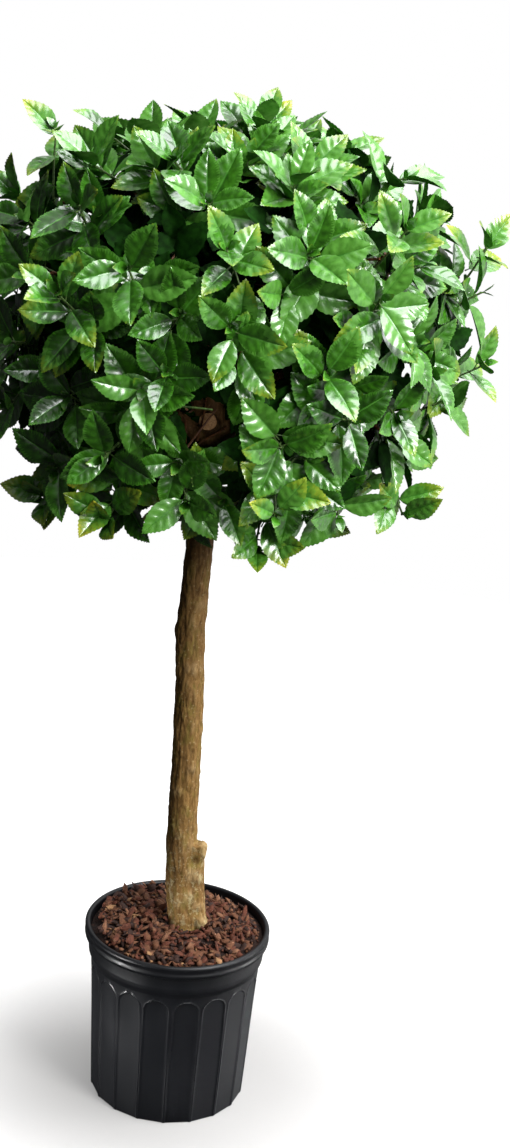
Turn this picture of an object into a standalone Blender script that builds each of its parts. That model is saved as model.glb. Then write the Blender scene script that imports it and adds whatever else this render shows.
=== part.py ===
"""Potted topiary: a squat ball of broad toothed leaves on a bare standard trunk, in a fluted nursery pot.

Metres, +Z up. The origin is the centre of the pot's flat underside. The front of the plant faces -Y.
The trunk forks inside the ball into short collars. A bough carries on from each collar, and at its tip
a mass of foliage begins: one stem, side shoots and twigs, with a whorl of leaves on each twig.
"""

import math
import random

import bmesh
import bpy
from mathutils import Matrix, Vector
from mathutils.bvhtree import BVHTree

PART_NAME = "potted_topiary"
CLEARANCE = 0.0003  # between solids that meet face to face
MERGE = 0.00001

# Pot: a deep rolled lip is the widest ring, a band stands under it, and a short slope leads to the wall.
POT_HEIGHT = 0.260
LIP_RADIUS = 0.131
LIP_WIDTH = 0.008
LIP_FOOT = 0.2415
BAND_RADIUS = 0.1246
BAND_FOOT = 0.2165
SLOPE_FOOT = 0.2075
BODY_TOP_RADIUS = 0.1195
FOOT_RADIUS = 0.110
FOOT_ROUND = 0.003
POT_WALL = 0.0034
POT_STEPS = 54

# Flutes: flat panels with arched heads, cut into the round wall all the way down.
FLUTE_COUNT = 18
FLUTE_DEPTH = 0.0018
FLUTE_WIDTH = 0.035
FLUTE_HEAD = 0.199
FLUTE_ARC_STEPS = 6

# Fill: a mound of potting mulch, highest round the trunk.
FILL_EDGE = 0.247
FILL_CROWN = 0.259
FILL_FLAT_RADIUS = 0.034
FILL_STEPS = 54

# Trunk centre line as (x, y, z, radius), from the flat cut on the mulch to the fork.
TRUNK_LINE = (
    (0.0100, 0.000, FILL_CROWN + CLEARANCE, 0.0258),
    (0.0100, 0.000, 0.265, 0.0246),
    (0.0058, 0.001, 0.290, 0.0236),
    (0.0012, 0.001, 0.330, 0.0228),
    (-0.0035, 0.000, 0.400, 0.0212),
    (-0.0045, -0.001, 0.500, 0.0203),
    (-0.0065, 0.000, 0.600, 0.0198),
    (-0.0110, 0.002, 0.690, 0.0200),
    (-0.0090, 0.002, 0.780, 0.0186),
    (-0.0070, 0.000, 0.860, 0.0180),
    (-0.0040, 0.000, 0.940, 0.0172),
    (-0.0020, 0.000, 1.010, 0.0150),
)
TRUNK_BEVEL = 4
SIDE_STEM_LINE = (
    (0.0270, -0.007, FILL_CROWN - 0.003, 0.0140),
    (0.0225, -0.006, 0.300, 0.0135),
    (0.0190, -0.005, 0.346, 0.0130),
    (0.0180, -0.005, 0.388, 0.0125),
)
# Root flare: toes that run out along the mulch, as (bearing in degrees, reach from the axis, radius).
ROOT_TOES = ((-24.0, 0.022, 0.0130), (-100.0, 0.015, 0.0115), (85.0, 0.015, 0.0120), (172.0, 0.013, 0.0120))
TOE_HEIGHT = 0.045
PRUNED_STUB = {"height": 0.985, "bearing": -97.0, "rise": 22.0, "length": 0.052, "radius": 0.0120}

# Crown: round from above and squarish from the side, with some longer sprays that stand out
# from it, as (bearing in degrees, rise in degrees, height).
CROWN_CENTRE = Vector((0.004, 0.0, 1.126))
CROWN_HALF = Vector((0.328, 0.326, 0.268))
CROWN_SQUARENESS = 2.7
CROWN_BUMPS = (
    (-2.0, 21.0, 0.046),
    (3.0, -6.0, 0.046),
    (-18.0, -40.0, 0.044),
    (-124.0, -44.0, 0.034),
    (52.0, 10.0, 0.030),
    (96.0, 34.0, 0.024),
    (118.0, -16.0, 0.034),
    (158.0, 22.0, 0.026),
    (196.0, -10.0, 0.030),
    (232.0, 12.0, 0.028),
    (286.0, -32.0, 0.030),
    (316.0, 30.0, 0.026),
    (182.0, 45.0, 0.034),
    (60.0, 76.0, 0.014),
    (-70.0, -56.0, 0.034),
    (205.0, -44.0, 0.036),
)
BUMP_WIDTH = math.radians(13.0)
UP = Vector((0.0, 0.0, 1.0))

# Boughs: (name, bearing in degrees, rise in degrees, height on the trunk).
RING_BOUGHS = (
    ("front_right", -60.0, 28.0, 0.938),
    ("right", 0.0, 38.0, 0.968),
    ("back_right", 60.0, 30.0, 0.942),
    ("back_left", 120.0, 40.0, 0.974),
    ("left", 180.0, 36.0, 0.962),
    ("front_left", -120.0, 26.0, 0.934),
)
RING_MASS_RADIUS = 0.20
RING_MASS_HEIGHTS = (1.120, 1.085)
TOP_MASS_CENTRE = Vector((0.008, 0.0, 1.290))
COLLAR_LENGTH = 0.036
COLLAR_RADIUS = 0.0105
BOUGH_TIP_RADIUS = 0.0065
BOUGH_SHARE = 0.46  # of the way from the collar to the mass's centre
LEADER_LENGTH = 0.115
LIMB_BEVEL = 2

# Foliage: spray sites lie on a spiral over the crown, and each belongs to the nearest mass.
SEED = 41
SITE_COUNT = 98
SITE_INSET = 0.040
SITE_DEPTH_SPREAD = 0.022
SITE_TURN_SPREAD = 0.16
TRUNK_BAY = 0.075  # no spray starts nearer to the trunk's line than this
SITES_PER_SHOOT = 3
STEM_SHARE = 0.42
KNUCKLE_PULL = 0.46
STEM_RADII = (BOUGH_TIP_RADIUS, 0.0042)
SHOOT_RADII = (0.0040, 0.0028)
TWIG_RADII = (0.0026, 0.0017)
LEAVES_PER_SPRAY = (5, 6)
LEAF_LENGTH = 0.084
LEAF_TIP_SHARE = 0.78  # size of a spray's last leaf beside its first
LEAF_SIZE_SPREAD = 0.08
LEAF_TIGHT_SHARE = 0.72  # size of a leaf that has to squeeze in
LEAF_WIDTH_SHARE = 0.62
LEAF_BROADEST = 0.42
LEAF_THICKNESS = 0.0022
LEAF_FOLD = 0.20
LEAF_DROOP = 0.12
LEAF_LIFT = (4.0, 48.0)  # from a spray's first leaf to its last, in degrees above level
LEAF_LIFT_SPREAD = 14.0
LEAF_SPACING = 0.0042  # along the twig
LEAF_TRIES = 14
LEAF_TOUCHES = 0  # other leaves and twigs that a leaf may run into, beside its own twig
# Core: the crown is dense, so each mass is closed inside by a crumpled lump that its leaves stand out of.
CORE_RADIUS_SHARE = 0.80  # its middle, as a share of the ring masses' distance from the axis
CORE_TOP_DROP = 0.035
CORE_INSET = 0.100
CORE_GAP = 0.010  # to the next space
CORE_LIMB_GAP = 0.022
CORE_STEP = 0.004
CORE_REACH = 0.105
CORE_CRUMPLE = (0.62, 1.0)
CELL_MARGIN = 0.0012
LIMB_MARGIN = 0.003
GOLDEN_ANGLE = math.pi * (3.0 - math.sqrt(5.0))

COLOURS = {
    "pot": ((0.012, 0.012, 0.014, 1.0), 0.42),
    "mulch": ((0.110, 0.042, 0.024, 1.0), 0.90),
    "bark": ((0.205, 0.135, 0.060, 1.0), 0.80),
    "leaf": ((0.035, 0.155, 0.030, 1.0), 0.30),
}


def clear_scene():
    for obj in list(bpy.data.objects):
        bpy.data.objects.remove(obj)


def new_collection(name):
    collection = bpy.data.collections.new(name)
    bpy.context.scene.collection.children.link(collection)
    return collection


def material(name):
    """A plain Principled material in one of the plant's colours."""
    found = bpy.data.materials.get(name)
    if found:
        return found
    made = bpy.data.materials.new(name)
    made.use_nodes = True
    colour, roughness = COLOURS[name]
    shader = made.node_tree.nodes["Principled BSDF"]
    shader.inputs["Base Color"].default_value = colour
    shader.inputs["Roughness"].default_value = roughness
    shader.inputs["Metallic"].default_value = 0.0
    return made


def add_object(name, data, collection, matrix=None):
    obj = bpy.data.objects.new(name, data)
    collection.objects.link(obj)
    if matrix is not None:
        obj.matrix_world = matrix
    return obj


def smooth(obj, angle=math.radians(40.0)):
    obj.data.shade_smooth()
    obj.data.set_sharp_from_angle(angle=angle)


def bearing_vector(bearing, rise=0.0):
    """Unit vector at a compass-like bearing from +X and a rise above the horizon, both in degrees."""
    turn, lift = math.radians(bearing), math.radians(rise)
    return Vector((math.cos(turn) * math.cos(lift), math.sin(turn) * math.cos(lift), math.sin(lift)))


def mesh_from_curve(obj, collection):
    """Makes a curve object a mesh, with its end caps welded on."""
    graph = bpy.context.evaluated_depsgraph_get()
    mesh = bpy.data.meshes.new_from_object(obj.evaluated_get(graph))
    shape = bmesh.new()
    shape.from_mesh(mesh)
    bmesh.ops.remove_doubles(shape, verts=shape.verts, dist=MERGE)
    bmesh.ops.recalc_face_normals(shape, faces=shape.faces)
    shape.to_mesh(mesh)
    shape.free()
    made = add_object(obj.name + "_mesh", mesh, collection, obj.matrix_world.copy())
    name = obj.name
    bpy.data.objects.remove(obj)
    made.name = name
    return made


def limb(name, line, bevel, collection):
    """A round tapering limb with flat ends. line is a list of (x, y, z, radius)."""
    data = bpy.data.curves.new(name, "CURVE")
    data.dimensions = "3D"
    data.bevel_depth = 1.0
    data.bevel_resolution = bevel
    data.use_fill_caps = True
    spline = data.splines.new("POLY")
    spline.points.add(len(line) - 1)
    for point, (x, y, z, radius) in zip(spline.points, line):
        point.co = (x, y, z, 1.0)
        point.radius = radius
    obj = add_object(name, data, collection)
    bpy.context.view_layer.update()
    return mesh_from_curve(obj, collection)


def join_by_union(obj, others, solver):
    """Fuses every object of the collection into obj, applies the result and removes the collection."""
    union = obj.modifiers.new("union", "BOOLEAN")
    union.operation = "UNION"
    union.operand_type = "COLLECTION"
    union.collection = others
    union.solver = solver
    bpy.context.view_layer.update()
    graph = bpy.context.evaluated_depsgraph_get()
    mesh = bpy.data.meshes.new_from_object(obj.evaluated_get(graph))
    obj.modifiers.clear()
    obj.data = mesh
    for other in list(others.objects):
        bpy.data.objects.remove(other)
    bpy.data.collections.remove(others)


def shells_of(shape):
    """The loose shells of a bmesh, each as (signed volume, faces)."""
    shape.faces.ensure_lookup_table()
    unseen = set(shape.faces)
    shells = []
    while unseen:
        edge_of_search = [unseen.pop()]
        faces = list(edge_of_search)
        while edge_of_search:
            face = edge_of_search.pop()
            for edge in face.edges:
                for near in edge.link_faces:
                    if near in unseen:
                        unseen.remove(near)
                        edge_of_search.append(near)
                        faces.append(near)
        volume = sum(
            face.verts[0].co.dot(face.verts[i].co.cross(face.verts[i + 1].co))
            for face in faces
            for i in range(1, len(face.verts) - 1)
        )
        shells.append((volume, faces))
    return shells


def keep_largest_shell(obj):
    """Fills the hollows that fusing sealed, and drops loose scraps, by keeping the outer shell alone."""
    shape = bmesh.new()
    shape.from_mesh(obj.data)
    bmesh.ops.triangulate(shape, faces=shape.faces)
    shells = sorted(shells_of(shape), key=lambda shell: shell[0])
    spare = [face for _, faces in shells[:-1] for face in faces]
    bmesh.ops.delete(shape, geom=spare, context="FACES")
    shape.to_mesh(obj.data)
    shape.free()


def pot_profile():
    """The wall in section as (radius, height), from the inside of the floor over the lip to the underside."""
    return (
        (0.0, POT_WALL),
        (FOOT_RADIUS - POT_WALL - 0.001, POT_WALL),
        (BODY_TOP_RADIUS - POT_WALL, SLOPE_FOOT),
        (BAND_RADIUS - POT_WALL, BAND_FOOT),
        (LIP_RADIUS - LIP_WIDTH, POT_HEIGHT - 0.002),
        (LIP_RADIUS - LIP_WIDTH + 0.002, POT_HEIGHT),
        (LIP_RADIUS - 0.003, POT_HEIGHT),
        (LIP_RADIUS, POT_HEIGHT - 0.004),
        (LIP_RADIUS - 0.0008, LIP_FOOT),
        (BAND_RADIUS - 0.0010, LIP_FOOT - 0.0010),
        (BAND_RADIUS, BAND_FOOT + 0.0050),
        (BAND_RADIUS - 0.0006, BAND_FOOT),
        (BODY_TOP_RADIUS, SLOPE_FOOT),
        (FOOT_RADIUS, FOOT_ROUND),
        (FOOT_RADIUS - FOOT_ROUND, 0.0),
        (0.0, 0.0),
    )


def turned(name, profile, steps, collection):
    """A profile of (radius, height) points turned about Z."""
    mesh = bpy.data.meshes.new(name)
    shape = bmesh.new()
    points = [shape.verts.new((radius, 0.0, height)) for radius, height in profile]
    for first, second in zip(points, points[1:]):
        shape.edges.new((first, second))
    shape.to_mesh(mesh)
    shape.free()
    obj = add_object(name, mesh, collection)
    screw = obj.modifiers.new("turn", "SCREW")
    screw.steps = steps
    screw.render_steps = steps
    screw.use_merge_vertices = True
    screw.merge_threshold = MERGE
    return obj


def flute_outline():
    """Half circle on two straight sides, as (across, up) points."""
    half = FLUTE_WIDTH / 2
    spring = FLUTE_HEAD - half
    arc = [math.pi * i / FLUTE_ARC_STEPS for i in range(FLUTE_ARC_STEPS + 1)]
    head = [(half * math.cos(turn), spring + half * math.sin(turn)) for turn in arc]
    below = -0.01
    return [(half, below), *head, (-half, below)]


def add_flutes(pot, cutters):
    """Cuts the arched flat panels into the wall, each leaning as the wall does."""
    lean = math.atan((BODY_TOP_RADIUS - FOOT_RADIUS) / (FLUTE_HEAD - FOOT_ROUND))
    thickness = 0.012
    for number in range(FLUTE_COUNT):
        data = bpy.data.curves.new(f"flute_{number:02d}", "CURVE")
        data.dimensions = "2D"
        data.fill_mode = "BOTH"
        data.extrude = thickness / 2
        spline = data.splines.new("POLY")
        outline = flute_outline()
        spline.points.add(len(outline) - 1)
        for point, (across, up) in zip(spline.points, outline):
            point.co = (across, up, 0.0, 1.0)
        spline.use_cyclic_u = True
        turn = Matrix.Rotation(math.tau * number / FLUTE_COUNT, 4, "Z")
        out = Matrix.Translation((FOOT_RADIUS - FLUTE_DEPTH + thickness / 2, 0.0, 0.0))
        upright = Matrix.Rotation(lean, 4, "Y") @ Matrix.Rotation(math.radians(90), 4, "Z")
        stand = Matrix.Rotation(math.radians(90), 4, "X")
        cutter = add_object(f"flute_{number:02d}", data, cutters, turn @ out @ upright @ stand)
        bpy.context.view_layer.update()
        cutter = mesh_from_curve(cutter, cutters)
        cutter.hide_render = True
        cutter.display_type = "WIRE"
    cut = pot.modifiers.new("flutes", "BOOLEAN")
    cut.operation = "DIFFERENCE"
    cut.operand_type = "COLLECTION"
    cut.collection = cutters
    cut.solver = "EXACT"


def build_pot(collection, cutters):
    pot = turned("pot", pot_profile(), POT_STEPS, collection)
    add_flutes(pot, cutters)
    pot.data.materials.append(material("pot"))
    smooth(pot, math.radians(30.0))


def inner_wall_radius(height):
    """Radius of the pot's inner face at a height."""
    inner = pot_profile()[1:6]
    for (low_radius, low), (high_radius, high) in zip(inner, inner[1:]):
        if low <= height <= high:
            share = (height - low) / (high - low)
            return low_radius + share * (high_radius - low_radius)
    return inner[-1][0]


def build_fill(collection):
    """The mulch and what carries it: a plug that fits the pot, with a low mound on top."""
    floor = POT_WALL + CLEARANCE
    side = [inner_wall_radius(height) - CLEARANCE for height in (floor, SLOPE_FOOT, BAND_FOOT, FILL_EDGE)]
    shoulder = (FILL_EDGE + FILL_CROWN) / 2
    profile = (
        (0.0, FILL_CROWN),
        (FILL_FLAT_RADIUS, FILL_CROWN),
        (0.074, shoulder + 0.002),
        (side[3], FILL_EDGE),
        (side[2], BAND_FOOT),
        (side[1], SLOPE_FOOT),
        (side[0], floor),
        (0.0, floor),
    )
    fill = turned("mulch_fill", profile, FILL_STEPS, collection)
    fill.data.materials.append(material("mulch"))
    smooth(fill)


def trunk_point(height):
    """Point on the trunk's centre line at a height."""
    for (x0, y0, z0, _), (x1, y1, z1, _) in zip(TRUNK_LINE, TRUNK_LINE[1:]):
        if z0 <= height <= z1:
            share = (height - z0) / (z1 - z0)
            return Vector((x0, y0, z0)).lerp(Vector((x1, y1, z1)), share)
    return Vector(TRUNK_LINE[-1][:3])


def straight_line(start, end, radii, steps=1):
    """A straight limb's points, tapering evenly between two radii."""
    shares = [i / steps for i in range(steps + 1)]
    return [(*start.lerp(end, s), radii[0] + s * (radii[1] - radii[0])) for s in shares]


def collar_end(bearing, rise, height):
    """Where a bough's collar ends, and the way it points."""
    way = bearing_vector(bearing, rise)
    return trunk_point(height) + way * (TRUNK_LINE[-1][3] + COLLAR_LENGTH - 0.015), way


def build_trunk(collection):
    trunk = limb("trunk", TRUNK_LINE, TRUNK_BEVEL, collection)
    fused = new_collection("trunk_pieces")
    base = Vector(TRUNK_LINE[0][:3])
    flatten_below(limb("side_stem", SIDE_STEM_LINE, LIMB_BEVEL, fused), base.z)
    for number, (bearing, reach, radius) in enumerate(ROOT_TOES):
        way = bearing_vector(bearing)
        start = base + way * 0.008 + UP * TOE_HEIGHT
        end = base + way * reach - UP * 0.003
        toe = limb(f"toe_{number}", straight_line(start, end, (radius * 0.75, radius), 3), LIMB_BEVEL, fused)
        flatten_below(toe, base.z)
    for name, bearing, rise, height in RING_BOUGHS:
        end, _ = collar_end(bearing, rise, height)
        line = straight_line(trunk_point(height), end, (COLLAR_RADIUS + 0.001, COLLAR_RADIUS), 2)
        limb(f"collar_{name}", line, LIMB_BEVEL, fused)
    stub = PRUNED_STUB
    start = trunk_point(stub["height"])
    end = start + bearing_vector(stub["bearing"], stub["rise"]) * stub["length"]
    limb("pruned_stub", straight_line(start, end, (stub["radius"] + 0.002, stub["radius"]), 2), LIMB_BEVEL, fused)
    join_by_union(trunk, fused, "EXACT")
    keep_largest_shell(trunk)
    trunk.data.materials.append(material("bark"))
    smooth(trunk)


def flatten_below(obj, height):
    """Levels what lies under a height, so that a limb ends in the trunk's flat cut."""
    for vertex in obj.data.vertices:
        vertex.co.z = max(vertex.co.z, height)


def mass_centres():
    """Name and centre of each mass of foliage."""
    centres = []
    for number, (name, bearing, _, _) in enumerate(RING_BOUGHS):
        centre = CROWN_CENTRE + bearing_vector(bearing) * RING_MASS_RADIUS
        centre.z = RING_MASS_HEIGHTS[number % 2]
        centres.append((name, centre))
    centres.append(("top", TOP_MASS_CENTRE.copy()))
    return centres


def bough_lines():
    """Each bough's points by name, from 0.3 mm past its collar to the mass that it carries."""
    centres = dict(mass_centres())
    lines = {}
    for name, bearing, rise, height in RING_BOUGHS:
        collar, way = collar_end(bearing, rise, height)
        start = collar + way * CLEARANCE
        end = start.lerp(centres[name], BOUGH_SHARE)
        bend = start + way * (end - start).length * 0.5
        lines[name] = [start, start.lerp(bend, 0.5), bend.lerp(end, 0.08), end]
    fork = Vector(TRUNK_LINE[-1][:3])
    way = (fork - Vector(TRUNK_LINE[-2][:3])).normalized()
    start = fork + way * CLEARANCE
    middle = start + Vector((0.003, 0.002, LEADER_LENGTH * 0.5))
    lines["top"] = [start, start + way * 0.01, middle, start + Vector((0.008, 0.0, LEADER_LENGTH))]
    return lines


def build_boughs(collection):
    for name, points in bough_lines().items():
        first = TRUNK_LINE[-1][3] if name == "top" else COLLAR_RADIUS
        last = len(points) - 1
        line = [
            (*point, first + (BOUGH_TIP_RADIUS - first) * number / last) for number, point in enumerate(points)
        ]
        bough = limb(f"bough_{name}", line, LIMB_BEVEL, collection)
        bough.data.materials.append(material("bark"))
        smooth(bough)


def crown_reach(way):
    """Distance from the crown's centre to its outline along a unit vector."""
    level = math.hypot(way.x / CROWN_HALF.x, way.y / CROWN_HALF.y)
    total = level**CROWN_SQUARENESS + abs(way.z / CROWN_HALF.z) ** CROWN_SQUARENESS
    reach = total ** (-1.0 / CROWN_SQUARENESS)
    for bearing, rise, height in CROWN_BUMPS:
        apart = way.angle(bearing_vector(bearing, rise)) / BUMP_WIDTH
        reach += height * math.exp(-apart * apart)
    return reach


def crown_normal(way):
    """Outward normal of the crown's outline along a unit vector from its centre."""
    level = math.hypot(way.x / CROWN_HALF.x, way.y / CROWN_HALF.y)
    round_part = level ** (CROWN_SQUARENESS - 2.0)
    up = math.copysign(abs(way.z / CROWN_HALF.z) ** (CROWN_SQUARENESS - 1.0) / CROWN_HALF.z, way.z)
    return Vector((round_part * way.x / CROWN_HALF.x**2, round_part * way.y / CROWN_HALF.y**2, up)).normalized()


def inside_crown(point, inset=0.0):
    offset = point - CROWN_CENTRE
    return offset.length <= crown_reach(offset.normalized()) - inset


def segment_distance(point, start, end):
    along = end - start
    share = max(0.0, min(1.0, (point - start).dot(along) / along.length_squared))
    return (point - start - along * share).length


def limb_segments():
    """Every limb's straight stretches as (start, end, larger radius), for keeping foliage off them."""
    lines = [[(Vector(row[:3]), row[3]) for row in TRUNK_LINE]]
    for points in bough_lines().values():
        lines.append([(point, COLLAR_RADIUS) for point in points])
    for _, bearing, rise, height in RING_BOUGHS:
        end, _ = collar_end(bearing, rise, height)
        lines.append([(trunk_point(height), COLLAR_RADIUS), (end, COLLAR_RADIUS)])
    stub = PRUNED_STUB
    start = trunk_point(stub["height"])
    end = start + bearing_vector(stub["bearing"], stub["rise"]) * stub["length"]
    lines.append([(start, stub["radius"]), (end, stub["radius"])])
    return [
        (first, second, max(first_radius, second_radius))
        for line in lines
        for (first, first_radius), (second, second_radius) in zip(line, line[1:])
    ]


class Space:
    """The space of one mass: nearer to its own centre than to any other, and clear of every limb."""

    def __init__(self, name, centres, limbs):
        self.centre = dict(centres)[name]
        self.others = [centre for other, centre in centres if other != name]
        self.limbs = limbs

    def depth(self, point):
        """How far inside the space's flat sides a point lies."""
        return min(
            (other - point).length_squared / (2 * (other - self.centre).length)
            - (self.centre - point).length_squared / (2 * (other - self.centre).length)
            for other in self.others
        )

    def clear_of_limbs(self, point, radius):
        return all(
            segment_distance(point, start, end) > thick + radius + LIMB_MARGIN for start, end, thick in self.limbs
        )

    def holds(self, point, radius=0.0):
        return self.depth(point) > radius + CELL_MARGIN and self.clear_of_limbs(point, radius)

    def holds_core(self, point):
        clear = self.depth(point) > CORE_GAP and self.clear_of_limbs(point, CORE_LIMB_GAP)
        return clear and inside_crown(point, CORE_INSET)


def spray_sites(centres):
    """Twig ends over the whole crown by mass name, each as (point, outward normal)."""
    rng = random.Random(SEED)
    sites = {name: [] for name, _ in centres}
    for number in range(SITE_COUNT):
        height = 1.0 - 2.0 * (number + 0.5) / SITE_COUNT
        ring = math.sqrt(1.0 - height * height)
        turn = number * GOLDEN_ANGLE + rng.uniform(-SITE_TURN_SPREAD, SITE_TURN_SPREAD)
        depth = SITE_INSET + rng.uniform(0.0, SITE_DEPTH_SPREAD)
        sway = Vector([rng.uniform(-0.25, 0.25) for _ in range(3)])
        way = Vector((ring * math.cos(turn), ring * math.sin(turn), height))
        point = CROWN_CENTRE + way * (crown_reach(way) - depth)
        if segment_distance(point, Vector(TRUNK_LINE[0][:3]), Vector(TRUNK_LINE[-1][:3])) < TRUNK_BAY:
            continue
        normal = (crown_normal(way) + sway + UP * 0.12).normalized()
        name = min(centres, key=lambda pair: (pair[1] - point).length)[0]
        sites[name].append((point, normal))
    return sites


def leaf_frame(foot, way, face):
    """Matrix that puts the unit leaf at foot, growing along way, with its upper side towards face."""
    side = way.cross(-face).normalized()
    upper = side.cross(-way).normalized()
    matrix = Matrix((way, side, upper)).transposed().to_4x4()
    matrix.translation = foot
    return matrix


def unit_leaf_mesh():
    """A leaf of unit length with eight faces: pointed foot and tip, broad middle, thick midrib, drooping point."""
    mesh = bpy.data.meshes.new("leaf")
    shape = bmesh.new()
    bmesh.ops.create_uvsphere(shape, u_segments=4, v_segments=2, radius=1.0)
    half_thickness = LEAF_THICKNESS / LEAF_LENGTH / 2
    for vertex in shape.verts:
        along, across, up = vertex.co
        vertex.co = (
            LEAF_BROADEST + along * (1.0 - LEAF_BROADEST if along > 0 else LEAF_BROADEST),
            across * LEAF_WIDTH_SHARE / 2,
            up * half_thickness + LEAF_FOLD * abs(across) * LEAF_WIDTH_SHARE / 2,
        )
        vertex.co.z -= LEAF_DROOP * vertex.co.x**2
    shape.to_mesh(mesh)
    shape.free()
    return mesh


class Neighbours:
    """The leaves and twigs that stand already, to keep the next ones off them."""

    def __init__(self, unit_mesh):
        self.unit = [vertex.co.copy() for vertex in unit_mesh.vertices]
        self.faces = [tuple(face.vertices) for face in unit_mesh.polygons]
        self.trees = []

    def leaf_tree(self, matrix, length):
        return BVHTree.FromPolygons([matrix @ (point * length) for point in self.unit], self.faces)

    def add_stick(self, start, end, radius):
        across = (end - start).orthogonal().normalized() * radius
        beside = across.cross(end - start).normalized() * radius
        points = [place + side for place in (start, end) for side in (across, beside - across / 2, -beside - across / 2)]
        self.trees.append(BVHTree.FromPolygons(points, [(0, 1, 4, 3), (1, 2, 5, 4), (2, 0, 3, 5)]))

    def add_mesh(self, mesh):
        points = [vertex.co.copy() for vertex in mesh.vertices]
        self.trees.append(BVHTree.FromPolygons(points, [tuple(face.vertices) for face in mesh.polygons]))

    def touches(self, tree):
        return sum(1 for other in self.trees if tree.overlap(other))


def spray_leaves(rng, tip, normal, twig_way, space, neighbours):
    """Leaves in a spiral up to a twig's end, as (matrix, length). One that finds no place is left out."""
    count = rng.choice(LEAVES_PER_SPRAY)
    spin = rng.uniform(0.0, math.tau)
    across = normal.orthogonal().normalized()
    leaves = []
    for number in range(count):
        share = number / (count - 1)
        foot = tip - twig_way * (0.002 + LEAF_SPACING * (count - 1 - number))
        best = None
        for attempt in range(LEAF_TRIES):
            squeeze = attempt / (LEAF_TRIES - 1)
            turn = spin + GOLDEN_ANGLE * number + rng.uniform(-0.35, 0.35) * (1.0 + squeeze)
            lift = LEAF_LIFT[0] + share * (LEAF_LIFT[1] - LEAF_LIFT[0])
            lift = math.radians(lift + rng.uniform(-LEAF_LIFT_SPREAD, LEAF_LIFT_SPREAD))
            length = LEAF_LENGTH * (1.0 + share * (LEAF_TIP_SHARE - 1.0)) * (1.0 - rng.uniform(0.0, LEAF_SIZE_SPREAD))
            length *= 1.0 + squeeze * (LEAF_TIGHT_SHARE - 1.0)
            level = Matrix.Rotation(turn, 3, normal) @ across
            way = (level * math.cos(lift) + normal * math.sin(lift)).normalized()
            matrix = leaf_frame(foot - way * 0.0008, way, normal)
            points = [matrix @ (point * length) for point in neighbours.unit]
            if not all(space.holds(point) and inside_crown(point) for point in points):
                continue
            tree = neighbours.leaf_tree(matrix, length)
            touches = neighbours.touches(tree)
            if best is None or touches < best[0]:
                best = (touches, tree, matrix, length)
            if touches == 1:
                break
        if best and best[0] <= 1 + LEAF_TOUCHES:
            neighbours.trees.append(best[1])
            leaves.append(best[2:])
    return leaves


def grow_mass(name, stem_start, stem_way, sites, space, neighbours):
    """Stem, side shoots and twigs as (start, end, radii), and leaves as (matrix, length)."""
    rng = random.Random(f"{SEED} {name}")
    middle = sum((point for point, _ in sites), Vector()) / len(sites)
    stem_end = stem_start + stem_way * (middle - stem_start).length * STEM_SHARE
    wood = []
    sprays = []
    across = stem_way.orthogonal().normalized()
    beside = stem_way.cross(across)

    def angle_round_stem(site):
        offset = site[0] - stem_start
        return math.atan2(offset.dot(beside), offset.dot(across))

    ordered = sorted(sites, key=angle_round_stem)
    for first in range(0, len(ordered), SITES_PER_SHOOT):
        group = ordered[first : first + SITES_PER_SHOOT]
        heart = sum((point for point, _ in group), Vector()) / len(group)
        start = stem_start.lerp(stem_end, rng.uniform(0.45, 0.95))
        knuckle = heart.lerp(start, KNUCKLE_PULL)
        wood.append((start, knuckle, SHOOT_RADII))
        knuckle_way = (knuckle - start).normalized()
        for point, normal in group:
            if not space.holds(point, TWIG_RADII[0]):
                point = point.lerp(space.centre, 0.12)
            if not space.holds(point, TWIG_RADII[0]):
                continue
            twig_start = knuckle - knuckle_way * 0.002
            wood.append((twig_start, point, TWIG_RADII))
            sprays.append((point, normal, (point - twig_start).normalized()))
    for start, end, radii in wood:
        neighbours.add_stick(start, end, radii[0])
    leaves = [leaf for spray in sprays for leaf in spray_leaves(rng, *spray, space, neighbours)]
    return (stem_start, stem_end, STEM_RADII), wood, leaves


def tapered_stick(name, start, end, radii, sides, collection):
    """A straight many-sided stick between two points."""
    mesh = bpy.data.meshes.new(name)
    shape = bmesh.new()
    way = end - start
    bmesh.ops.create_cone(
        shape,
        cap_ends=True,
        cap_tris=False,
        segments=sides,
        radius1=radii[0],
        radius2=radii[1],
        depth=way.length,
    )
    shape.to_mesh(mesh)
    shape.free()
    turn = UP.rotation_difference(way).to_matrix().to_4x4()
    return add_object(name, mesh, collection, Matrix.Translation((start + end) / 2) @ turn)


def core_mesh(name, space):
    """The lump inside a mass: a crumpled ball blown up from its middle until it nears a border or a limb."""
    rng = random.Random(f"{SEED} {name} core")
    middle = space.centre.copy()
    if name == "top":
        middle.z -= CORE_TOP_DROP
    else:
        middle.xy = CROWN_CENTRE.xy.lerp(middle.xy, CORE_RADIUS_SHARE)
    mesh = bpy.data.meshes.new(f"{name}_core")
    shape = bmesh.new()
    bmesh.ops.create_icosphere(shape, subdivisions=2, radius=1.0)
    for vertex in shape.verts:
        way = vertex.co.normalized()
        reach = CORE_STEP
        while reach < CORE_REACH and space.holds_core(middle + way * (reach + CORE_STEP)):
            reach += CORE_STEP
        vertex.co = middle + way * reach * rng.uniform(*CORE_CRUMPLE)
    shape.to_mesh(mesh)
    shape.free()
    return mesh


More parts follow.
